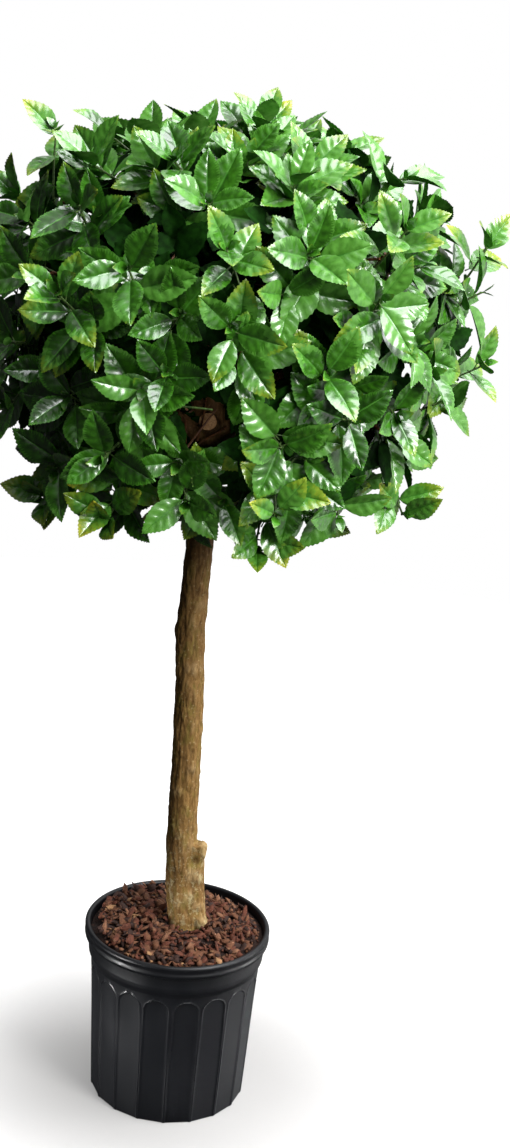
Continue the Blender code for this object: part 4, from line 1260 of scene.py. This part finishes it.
def crown_normal(way):
    """Outward normal of the crown's outline along a unit vector from its centre."""
    level = math.hypot(way.x / CROWN_HALF.x, way.y / CROWN_HALF.y)
    round_part = level ** (CROWN_SQUARENESS - 2.0)
    up = math.copysign(abs(way.z / CROWN_HALF.z) ** (CROWN_SQUARENESS - 1.0) / CROWN_HALF.z, way.z)
    right, back = round_part * way.x / CROWN_HALF.x**2, round_part * way.y / CROWN_HALF.y**2
    return Vector((right, back, up)).normalized()


def inside_crown(point, slack=0.0):
    offset = point - CROWN_CENTRE
    return offset.length <= crown_reach(offset.normalized()) + slack


def box_with_slack(bounds):
    """The corners of the solids' box, moved out as far as a leaf may reach."""
    low, high = (Vector(corner) for corner in bounds)
    slack = (high - low) * BOX_SLACK
    return low - slack, high + slack


def in_open_bay(point):
    """Whether a point lies in the gap that shows the pruned stub."""
    _, start, _ = stub_ends()
    way = bearing_vector(OPEN_BAY["bearing"], OPEN_BAY["rise"])
    end = start + way * CROWN_HALF.y * OPEN_BAY["reach"]
    return segment_distance(point, start, end) < OPEN_BAY["radius"]


def limb_segments():
    """Every limb's straight stretches as (start, end, radius), for keeping foliage off them."""
    lines = [[(Vector(row[:3]), row[3]) for row in TRUNK_LINE]]
    for points in bough_lines().values():
        lines.append([(point, COLLAR_RADIUS) for point in points])
    for _, bearing, rise, height in RING_BOUGHS:
        end, _ = collar_end(bearing, rise, height)
        lines.append([(trunk_point(height), COLLAR_RADIUS), (end, COLLAR_RADIUS)])
    start, end, _ = stub_ends()
    lines.append([(start, PRUNED_STUB["radius"]), (end, PRUNED_STUB["radius"])])
    return [
        (first, second, max(first_radius, second_radius))
        for line in lines
        for (first, first_radius), (second, second_radius) in zip(line, line[1:])
    ]


class Space:
    """The space of one mass: nearer to its own centre than to any other, and clear of every limb."""

    def __init__(self, name, centres, limbs):
        self.centre = dict(centres)[name]
        self.others = [centre for other, centre in centres if other != name]
        self.limbs = limbs

    def depth(self, point):
        """How far a point lies inside the planes halfway to the other masses."""
        return min(
            ((other - point).length_squared - (self.centre - point).length_squared)
            / (2 * (other - self.centre).length)
            for other in self.others
        )

    def holds(self, point, radius, overhang=0.0):
        if self.depth(point) < radius - overhang:
            return False
        return all(
            segment_distance(point, start, end) > thick + radius + LIMB_MARGIN
            for start, end, thick in self.limbs
        )


def spray_sites(centres):
    """Twig ends over the crown by mass and rank, each as (point, outward normal, whether on a bump)."""
    sites = {name: [[] for _ in SITE_RANKS] for name, _ in centres}

    def keep(rank, point, normal, on_bump):
        name = min(centres, key=lambda pair: (pair[1] - point).length)[0]
        sites[name][rank].append((point, normal, on_bump))

    bumps = [bearing_vector(bearing, rise) for bearing, rise, _ in CROWN_BUMPS]
    for way in bumps:
        point = CROWN_CENTRE + way * (crown_reach(way) - BUMP_SITE_INSET)
        outward, upward, frontward = BUMP_FACE
        frontward *= way.y < FRONT_REACH
        keep(0, point, (way * outward + UP * upward + FRONT * frontward).normalized(), True)
    for rank, facts in enumerate(SITE_RANKS):
        rng = random.Random(facts["seed"])
        for number in range(facts["count"]):
            height = 1.0 - 2.0 * (number + 0.5) / facts["count"]
            ring = math.sqrt(1.0 - height * height)
            turn = number * GOLDEN_ANGLE + rank * RANK_TURN
            turn += rng.uniform(-SITE_TURN_SPREAD, SITE_TURN_SPREAD)
            depth = facts["inset"] + rng.uniform(0.0, facts["spread"])
            sway = Vector([rng.uniform(-SITE_SWAY, SITE_SWAY) for _ in range(3)])
            way = Vector((ring * math.cos(turn), ring * math.sin(turn), height))
            if rank == 0 and min(way.angle(bump) for bump in bumps) < BUMP_SITE_ROOM:
                continue
            point = CROWN_CENTRE + way * (crown_reach(way) - depth)
            if segment_distance(point, Vector(TRUNK_LINE[0][:3]), Vector(TRUNK_LINE[-1][:3])) < TRUNK_BAY:
                continue
            normal = crown_normal(way).lerp(way, ROUND_FACE)
            normal.z *= 1.0 if normal.z > 0.0 else DROOPING_FACE
            turned = FRONT * FRONT_FACE if way.y < FRONT_REACH else Vector()
            keep(rank, point, (normal + sway + turned + UP * UPWARD_FACE).normalized(), False)
    return sites


def leaf_outline(share):
    """Half the blade's width at a share of its length."""
    low, high = LEAF_ROUNDNESS
    bow = np.sin(math.pi * np.clip(share, 0.0, 1.0) ** LEAF_BROADEST_POWER)
    return LEAF_WIDTH_SHARE / 2 * np.maximum(bow, 0.0) ** (low + (high - low) * share)


def mirrored(columns):
    """Columns from one edge of a leaf to the other, from those between its midrib and an edge."""
    return [-column for column in reversed(columns[1:])] + list(columns)


class LeafKind:
    """A flat leaf of unit length, a closed sheet: its rows follow the veins, and its edge is toothed.

    A point says how far along and across it lies, its share of the half width, how far it swells up
    between two veins, and whether it is on the underside.
    """

    def __init__(self, veins, rows_per_vein, columns, under_columns):
        self.points = [(0.0, 0.0, 0.0, 0.0, 0.0)]
        grid, upper = self.upper_side(veins * rows_per_vein, rows_per_vein, mirrored(columns))
        lower = self.underside(grid, mirrored(under_columns))
        self.points = np.array(self.points)
        self.faces = np.array(upper + lower)
        middle = self.points[self.faces].mean(axis=1)
        self.along = middle[:, 0]
        self.across = middle[:, 2]
        self.tip_share = TIP_WEIGHTS[0] * self.along + TIP_WEIGHTS[1] * self.across**2
        self.is_under = np.arange(len(self.faces)) >= len(upper)

    def upper_side(self, rows, rows_per_vein, sides):
        """Adds the upper side's points. Returns their numbers by row and column, and the triangles."""
        grid = np.zeros((rows + 1, len(sides)), int)
        for row in range(1, rows):
            share = row / rows
            edge = share + VEIN_SWEEP * math.sin(math.pi * share)
            tooth = 1.0 if row % 2 else TOOTH_NOTCH
            tooth *= min(1.0, share * TOOTH_RISE) * min(1.0, (1.0 - share) * TOOTH_FALL)
            half = float(leaf_outline(edge)) + TOOTH_DEPTH * tooth
            edge += TOOTH_LEAN * tooth
            phase = math.sin(math.pi * (row % rows_per_vein) / rows_per_vein)
            for column, across in enumerate(sides):
                grid[row, column] = len(self.points)
                along = share + (edge - share) * abs(across) ** VEIN_BOW
                swell = 0.0 if abs(across) < PUCKER_START else phase * (1.0 - PUCKER_EDGE * across**2)
                self.points.append((along, across * half, abs(across), swell, 0.0))
        grid[rows, :] = len(self.points)
        self.points.append((1.0, 0.0, 0.0, 0.0, 0.0))
        faces = []
        for row in range(rows):
            for column in range(len(sides) - 1):
                a, b = grid[row, column], grid[row, column + 1]
                c, d = grid[row + 1, column + 1], grid[row + 1, column]
                faces += [(a, c, b), (a, d, c)] if sides[column] < 0 else [(a, d, b), (b, d, c)]
        return grid, [face for face in faces if len(set(face)) == 3]

    def underside(self, grid, under):
        """Adds the underside's points, in every other row. Returns its triangles, out to the edge."""
        rows = len(grid) - 1
        below = np.zeros((rows + 1, len(under)), int)
        marks = [*range(0, rows, 2), rows]
        below[rows, :] = grid[rows, 0]
        for row in marks[1:-1]:
            for column, across in enumerate(under):
                below[row, column] = len(self.points)
                edge_point = self.points[grid[row, 0 if across < 0 else -1]]
                middle_point = self.points[grid[row, grid.shape[1] // 2]]
                along = middle_point[0] + (edge_point[0] - middle_point[0]) * abs(across)
                self.points.append((along, across * abs(edge_point[1]), abs(across), 0.0, 1.0))
        faces = []
        for row, next_row in zip(marks, marks[1:]):
            near, far = below[row], below[next_row]
            for column in range(len(under) - 1):
                a, b = near[column], near[column + 1]
                c, d = far[column + 1], far[column]
                faces += [(a, b, c), (a, c, d)]
            for side in (0, -1):
                rim = grid[row : next_row + 1, side]
                fan = [(far[side], start, end) for start, end in zip(rim, rim[1:])]
                fan.append((near[side], rim[0], far[side]))
                faces += [face[::-1] for face in fan] if side == 0 else fan
        return [face for face in faces if len(set(face)) == 3]

    def shaped(self, fold, arch, droop, pucker, wave, phase, twist):
        """The points bent into shape: folded on the midrib, arched, puckered, waved and twisted."""
        along, across, share, swell, under = self.points.T
        on_midrib = (share == 0.0) & (under == 0.0)
        up = fold * np.abs(across) - arch * share**2 * LEAF_WIDTH_SHARE / 2
        up = up + PUCKER * pucker * swell * np.minimum(1.0, 4.0 * along * (1.0 - along) + PUCKER_ENDS)
        up = up - MIDRIB_GROOVE * on_midrib
        up = up + wave * share**2 * np.sin(phase + EDGE_WAVES * along) * np.sin(math.pi * along)
        gape = np.sin(math.pi * np.clip(along, *UNDERSIDE_ENDS))
        up = up - UNDERSIDE_GAP * under * (1.0 - share) * gape
        up = up - droop * along**2
        turn = twist * along
        bent_across = across * np.cos(turn) - up * np.sin(turn)
        bent_up = across * np.sin(turn) + up * np.cos(turn)
        return np.stack([along, bent_across, bent_up], axis=1)

    def colours(self, rng, body, tint):
        """A slot for each face: the body's green, going fresh and then yellow towards tip and edge."""
        # leaves inside the crown take one painted-shade green all over
        if body == SHADED_INNER:
            return np.full(len(self.faces), SHADED_INNER)
        ragged = np.array([rng.random() for _ in range(COLOUR_SCRAPS)])
        grain = ragged[(np.arange(len(self.faces)) // COLOUR_SCRAP_FACES) % COLOUR_SCRAPS]
        score = self.tip_share + COLOUR_GRAIN * (grain - 0.5)
        slots = np.full(len(self.faces), body)
        lighter = min(body + 1, BRIGHT)
        slots[self.across > RIM] = lighter
        early, late = TURN_PULLS
        turning = TURN_START - early * min(tint, TINT_BEND) - late * max(0.0, tint - TINT_BEND)
        for slot, further in zip((lighter, BRIGHT, LIME, FRESH), TURN_STEPS):
            slots[score > turning + further] = slot
        for slot, (start, pull) in ((YELLOW, YELLOW_START), (GOLD, GOLD_START)):
            slots[score > start - pull * tint] = slot
        slots[(self.across < MIDRIB_WIDTH) & (self.along < MIDRIB_END)] = MIDRIB
        slots[self.is_under] = UNDERSIDE
        return slots


def leaf_frame(foot, way, face):
    """Matrix that puts a unit leaf at foot, growing along way, with its upper side towards face."""
    side = way.cross(-face).normalized()
    upper = side.cross(-way).normalized()
    matrix = Matrix((way, side, upper)).transposed().to_4x4()
    matrix.translation = foot
    return matrix


def leaf_way(normal, turn, lift):
    """The way a leaf grows at a whorl: turned round its normal, and lifted towards it."""
    level = Matrix.Rotation(turn, 3, normal) @ normal.orthogonal().normalized()
    return (level * math.cos(lift) + normal * math.sin(lift)).normalized()


class Neighbours:
    """The leaves and twigs that stand already, to keep the next ones off them."""

    def __init__(self):
        self.corners = [Vector(point) for point in PROXY_POINTS]
        self.cells = {}

    def key(self, point):
        return tuple(math.floor(value / LEAF_REACH) for value in point)

    def keep(self, heart, tree):
        self.cells.setdefault(self.key(heart), []).append(tree)

    def leaf_tree(self, points):
        return BVHTree.FromPolygons(points, PROXY_FACES)

    def add_stick(self, start, end, radius):
        across = (end - start).orthogonal().normalized() * radius
        beside = across.cross(end - start).normalized() * radius
        sides = (across, beside - across / 2, -beside - across / 2)
        pieces = max(1, int((end - start).length / LEAF_REACH * STICK_PIECES))
        for piece in range(pieces):
            low, high = start.lerp(end, piece / pieces), start.lerp(end, (piece + 1) / pieces)
            points = [place + side for place in (low, high) for side in sides]
            self.keep((low + high) / 2, BVHTree.FromPolygons(points, STICK_FACES))

    def touches(self, heart, tree):
        """How many of its neighbours a leaf crosses."""
        x, y, z = self.key(heart)
        return sum(
            1
            for i in (x - 1, x, x + 1)
            for j in (y - 1, y, y + 1)
            for k in (z - 1, z, z + 1)
            for other in self.cells.get((i, j, k), ())
            if tree.overlap(other)
        )


def bent_twig(rng, start, end, radii, sag=TWIG_SAG):
    """A twig's points: a slight bow, and a swelling where each whorl of leaves was set."""
    way = end - start
    bow = Vector([rng.uniform(-1.0, 1.0) for _ in range(3)]) * way.length * sag
    line = []
    steps = max(3, int(way.length / TWIG_STEP))
    for step in range(steps + 1):
        share = step / steps
        point = start + way * share + bow * math.sin(math.pi * share)
        swelling = 1.0 + (TWIG_KNUCKLE if step % TWIG_KNUCKLE_STEPS == 1 else 0.0)
        line.append((*point, (radii[0] + share * (radii[1] - radii[0])) * swelling))
    return line


class Foliage:
    """Grows one mass: its wood goes to the twigs piece and its leaves to the leaves piece."""

    def __init__(self, name, centres, limbs, neighbours, kinds, box):
        self.rng = random.Random(f"{SEED} {name} fine")
        self.box = box
        self.space = Space(name, centres, limbs)
        self.neighbours = neighbours
        self.kinds = kinds
        self.leaves = Stock()
        self.twigs = Stock()

    def add_wood(self, line, sides, slot):
        self.twigs.put(*tube(line, sides), slot)

    def add_leaf(self, kind, matrix, length, body, tint):
        shape = self.kinds[kind]
        points = shape.shaped(**{bend: self.rng.uniform(*span) for bend, span in LEAF_BENDS.items()})
        points = points * (length, length * self.rng.uniform(*LEAF_WIDTH_SPREAD), length)
        self.leaves.put(moved(points, matrix), shape.faces, shape.colours(self.rng, body, tint))

    def room_for(self, point, slack):
        """Whether a leaf may reach a point: in the box and its mass, off the limbs, under the outline."""
        low, high = self.box
        if not all(a < value < b for a, value, b in zip(low, point, high)):
            return False
        if not self.space.holds(point, 0.0, CELL_OVERHANG) or in_open_bay(point):
            return False
        return inside_crown(point, slack)

    def spray(self, tip, normal, twig_way, count, size, kind, tone, tint, lifts, slack):
        """Leaves in a spiral up to a twig's end, each on a stalk. One that finds no place is left out."""
        rng = self.rng
        spin = rng.uniform(0.0, math.tau)
        for number in range(count):
            share = number / (count - 1)
            after = count - 1 - number
            foot = tip - twig_way * (LEAF_TIP_GAP + LEAF_SPACING * after**LEAF_SPACING_POWER)
            best = None
            for attempt in range(LEAF_TRIES):
                squeeze = attempt / (LEAF_TRIES - 1)
                stray = rng.uniform(-LEAF_TURN_SPREAD, LEAF_TURN_SPREAD) * (1.0 + squeeze)
                turn = spin + GOLDEN_ANGLE * number + stray
                lift = lifts[0] + share * (lifts[1] - lifts[0])
                lift = math.radians(lift + rng.uniform(-LEAF_LIFT_SPREAD, LEAF_LIFT_SPREAD))
                length = size * (1.0 + share * (LEAF_TIP_SHARE - 1.0))
                length *= 1.0 - rng.uniform(0.0, LEAF_SIZE_SPREAD)
                length *= 1.0 + squeeze * (LEAF_TIGHT_SHARE - 1.0)
                way = leaf_way(normal, turn, lift)
                start = foot + way * PETIOLE_LENGTH
                matrix = leaf_frame(start, way, normal)
                points = [matrix @ (point * length) for point in self.neighbours.corners]
                if not all(self.room_for(point, slack) for point in points):
                    continue
                heart = start + way * length / 2
                tree = self.neighbours.leaf_tree(points)
                touches = self.neighbours.touches(heart, tree)
                if best is None or touches < best[0]:
                    best = (touches, tree, heart, matrix, length, way)
                if touches == 0:
                    break
            if best and best[0] <= (FIRST_TOUCHES if number < FIRST_LEAVES else TOUCHES):
                _, tree, heart, matrix, length, way = best
                self.neighbours.keep(heart, tree)
                # painted shade: leaves of the inner ranks take the near-black inner green
                body = SHADED_INNER
                if tone is not None:
                    leaf_tone = round(tone + rng.uniform(-LEAF_TONE_SPREAD, LEAF_TONE_SPREAD))
                    body = min(BRIGHT, max(DEEP, leaf_tone))
                self.add_leaf(kind, matrix, length, body, tint * rng.uniform(*LEAF_TINTS))
                stalk_start = foot - way * PETIOLE_SUNK
                stalk_end = matrix.translation + way * length * PETIOLE_OVERLAP
                stalk = straight_line(stalk_start, stalk_end, PETIOLE_RADII, PETIOLE_STEPS)
                self.add_wood(stalk, PETIOLE_SIDES, GREEN_STEM)

    def young_leaves(self, tip, normal):
        """A pair of small new leaves and the bud between them, at the middle of an outer whorl."""
        rng = self.rng
        spin = rng.uniform(0.0, math.tau)
        for number in range(YOUNG_LEAVES):
            stray = rng.uniform(-YOUNG_TURN_SPREAD, YOUNG_TURN_SPREAD)
            lift = math.radians(rng.uniform(*YOUNG_LIFT))
            way = leaf_way(normal, spin + number * math.pi + stray, lift)
            length = rng.uniform(*YOUNG_LENGTHS)
            if inside_crown(tip + way * length):
                matrix = leaf_frame(tip + way * YOUNG_GAP, way, normal)
                self.add_leaf("young", matrix, length, MIDDLE, YOUNG_TINT)
        low, high = (tip + normal * reach for reach in BUD_ENDS)
        self.add_wood(straight_line(low, high, BUD_RADII, BUD_STEPS), BUD_SIDES, GREEN_STEM)

    def grow(self, stem_start, stem_way, ranks):
        """Stem, shoots, twigs and side twigs, then a whorl of leaves at each twig's end."""
        rng = self.rng
        outer = ranks[0]
        middle = sum((point for point, _, _ in outer), Vector()) / len(outer)
        stem_end = stem_start + stem_way * (middle - stem_start).length * STEM_SHARE
        stem = bent_twig(rng, stem_start - stem_way * STEM_SUNK, stem_end, STEM_RADII, STEM_SAG)
        self.add_wood(stem, STEM_SIDES, BROWN_STEM)
        across = stem_way.orthogonal().normalized()
        beside = stem_way.cross(across)

        def angle_round_stem(site):
            offset = site[0] - stem_start
            return math.atan2(offset.dot(beside), offset.dot(across))

        ordered = sorted(outer, key=angle_round_stem)
        twigs = []
        sprays = []
        for first in range(0, len(ordered), SITES_PER_SHOOT):
            group = ordered[first : first + SITES_PER_SHOOT]
            heart = sum((point for point, _, _ in group), Vector()) / len(group)
            start = stem_start.lerp(stem_end, rng.uniform(*SHOOT_SHARE))
            knuckle = heart.lerp(start, KNUCKLE_PULL)
            self.add_wood(bent_twig(rng, start, knuckle, SHOOT_RADII), SHOOT_SIDES, BROWN_STEM)
            self.neighbours.add_stick(start, knuckle, SHOOT_RADII[0])
            for point, normal, on_bump in group:
                if not self.space.holds(point, TWIG_RADII[0]):
                    point = point.lerp(self.space.centre, TWIG_RETREAT)
                if self.space.holds(point, TWIG_RADII[0]):
                    twigs.append((knuckle, point))
                    self.add_wood(bent_twig(rng, knuckle, point, TWIG_RADII), TWIG_SIDES, GREEN_STEM)
                    sprays.append((0, point, normal, (point - knuckle).normalized(), on_bump))
        for rank, sites in enumerate(ranks[1:], 1):
            slot = GREEN_STEM if rank < OUTER_RANKS else BROWN_STEM
            for point, normal, _ in sites:
                if not self.space.holds(point, SIDE_TWIG_RADII[0]):
                    continue
                low, high = min(twigs, key=lambda twig: segment_distance(point, *twig))
                start = low.lerp(high, rng.uniform(*SIDE_TWIG_SHARE))
                self.add_wood(bent_twig(rng, start, point, SIDE_TWIG_RADII), SIDE_TWIG_SIDES, slot)
                self.neighbours.add_stick(start, point, SIDE_TWIG_RADII[0])
                sprays.append((rank, point, normal, (point - start).normalized(), False))
        for low, high in twigs:
            self.neighbours.add_stick(low, high.lerp(low, TWIG_END_FREE), TWIG_RADII[0])
        return sprays

    def dress(self, sprays, rank_now):
        """Puts the leaves on the twigs of one rank."""
        rng = self.rng
        facts = SITE_RANKS[rank_now]
        inner = rank_now >= OUTER_RANKS
        for rank, point, normal, way, on_bump in sprays:
            if rank != rank_now or in_open_bay(point):
                continue
            tone = None
            if not inner:
                # painted light and shade: lighter greens facing up and right, darker ones in the deeper
                # rank
                tone = rng.choice(SPRAY_TONES) + PAINTED_TOP_LIGHT * normal.z + PAINTED_SIDE_LIGHT * normal.x
                tone -= PAINTED_RANK_SHADE * rank
            stand = TOP_STAND * max(0.0, normal.z) ** 2
            lifts = (LEAF_LIFT[0] + stand, LEAF_LIFT[1] + stand)
            count, size = rng.choice(facts["leaves"]), facts["size"]
            tint = INNER_TINT if inner else rng.choice(SPRAY_TINTS)
            slack = LEAF_SLACK
            if on_bump:
                count, size, lifts = BUMP_SPRAY["leaves"], BUMP_SPRAY["size"], BUMP_SPRAY["lift"]
                tint = BUMP_TINT
                slack = BUMP_SLACK if point.z > CROWN_CENTRE.z else LEAF_SLACK
            length = LEAF_LENGTH * size
            self.spray(point, normal, way, count, length, facts["kind"], tone, tint, lifts, slack)
            if not inner:
                self.young_leaves(point, normal)


def build_foliage(box):
    """All masses: first their wood, then their leaves rank by rank from the outside in."""
    centres = mass_centres()
    limbs = limb_segments()
    neighbours = Neighbours()
    kinds = {name: LeafKind(*facts) for name, facts in LEAF_KINDS.items()}
    sites = spray_sites(centres)
    leaf_finishes = [pressed_leaf_cloth(tone) for tone in LEAF_SLOTS]
    stem_finishes = [moulded_stem(tone) for tone in STEM_TONES]
    masses = {}
    for name, points in bough_lines().items():
        mass = Foliage(name, centres, limbs, neighbours, kinds, box)
        way = (points[-1] - points[-2]).normalized()
        masses[name] = (mass, mass.grow(points[-1], way, sites[name]))
    for rank in range(len(SITE_RANKS)):
        for mass, sprays in masses.values():
            mass.dress(sprays, rank)
    for name, (mass, _) in masses.items():
        leaves = mass.leaves.make(f"leaves_{name}", leaf_finishes, crease=LEAF_CREASE)
        twigs = mass.twigs.make(f"twigs_{name}", stem_finishes, crease=TWIG_CREASE)
        settle(leaves, "leaf", f"foliage_{name}")
        settle(twigs, "bark", f"foliage_{name}")


def lay_paper():
    """A round sheet of paper under the pot."""
    turns = np.arange(PAPER_SIDES) * math.tau / PAPER_SIDES
    circle = np.stack([np.cos(turns), np.sin(turns), np.zeros(PAPER_SIDES)], axis=1)
    rings = [circle * reach for reach in PAPER_RINGS]
    points = np.concatenate([*rings, [[0.0, 0.0, 0.0]]])
    faces = [fan_faces(len(points) - 1, 0, PAPER_SIDES), wrap_faces(len(rings), PAPER_SIDES)[:, ::-1]]
    stock = Stock()
    stock.put(points, np.concatenate(faces))
    paper = stock.make("studio_paper", [studio_paper()], crease=PAPER_CREASE)
    paper.visible_diffuse = False
    paper.visible_glossy = False


def place_lights():
    """Soft boxes: the key stands front right of the plant, and the largest hangs over it.

    Two low strips draw the pot's edges, and a small spot shows the pruned stub in its gap.
    """
    for name, place, target, size, power, spread, colour in SOFT_BOXES:
        data = bpy.data.lights.new(name, "AREA")
        data.shape = "RECTANGLE"
        data.size, data.size_y = size
        data.energy = power
        data.color = colour
        data.spread = math.radians(spread)
        light = add_object(name, data)
        light.location = place
        light.rotation_euler = (Vector(target) - Vector(place)).to_track_quat("-Z", "Y").to_euler()
        light.visible_camera = False


def white_room():
    """The room round the plant: white to the camera, and a soft light from its bright side."""
    world = bpy.data.worlds.new("studio_room")
    world.use_nodes = True
    tree = world.node_tree
    tree.nodes.clear()
    seen = add(tree, "ShaderNodeLightPath", out="Is Camera Ray")
    way = add(tree, "ShaderNodeTexCoord", out="Generated")
    aims = {0: way, 1: BRIGHT_SIDE}
    side = add(tree, "ShaderNodeVectorMath", aims, out="Value", operation="DOT_PRODUCT")
    span = dict(zip(("From Min", "From Max", "To Min", "To Max"), (*BRIGHT_REACH, *ROOM_LIGHT)))
    glow = add(tree, "ShaderNodeMapRange", {"Value": side, **span})
    strength = add(tree, "ShaderNodeMix", {0: seen, 2: glow, 3: 1.0}, data_type="FLOAT")
    room = add(tree, "ShaderNodeBackground", {"Color": linear("#ffffff"), "Strength": strength})
    add(tree, "ShaderNodeOutputWorld", {"Surface": room})
    bpy.context.scene.world = world


def place_camera():
    """The photograph's camera, worked out from the pot's rim, the trunk and the crown's width."""
    data = bpy.data.cameras.new("camera")
    data.sensor_width = SENSOR
    data.lens = SENSOR * FOCAL_PIXELS / PHOTO_HEIGHT
    data.clip_end = 60.0
    level = math.cos(CAMERA_PITCH)
    ahead = Vector((math.sin(CAMERA_YAW) * level, math.cos(CAMERA_YAW) * level, -math.sin(CAMERA_PITCH)))
    right = Vector((math.cos(CAMERA_YAW), -math.sin(CAMERA_YAW), 0.0))
    up = right.cross(ahead)
    leaning_right = right * math.cos(CAMERA_ROLL) + up * math.sin(CAMERA_ROLL)
    leaning_up = up * math.cos(CAMERA_ROLL) - right * math.sin(CAMERA_ROLL)
    camera = add_object("camera", data)
    pose = Matrix((leaning_right, leaning_up, -ahead)).transposed().to_4x4()
    pose.translation = CAMERA_PLACE
    camera.matrix_world = pose
    bpy.context.scene.camera = camera
    bpy.context.scene.view_settings.view_transform = "Standard"


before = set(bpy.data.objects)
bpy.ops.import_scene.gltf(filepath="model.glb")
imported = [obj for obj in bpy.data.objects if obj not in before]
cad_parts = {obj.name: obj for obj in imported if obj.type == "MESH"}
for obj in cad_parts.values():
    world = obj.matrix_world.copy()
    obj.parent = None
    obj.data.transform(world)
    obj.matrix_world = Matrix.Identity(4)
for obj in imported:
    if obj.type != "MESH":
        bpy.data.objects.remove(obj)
cad_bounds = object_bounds()
place_camera()
lay_paper()
place_lights()
white_room()
build_pot()
build_mulch(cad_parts["mulch_fill"])
build_bark()
build_foliage(box_with_slack(cad_bounds))
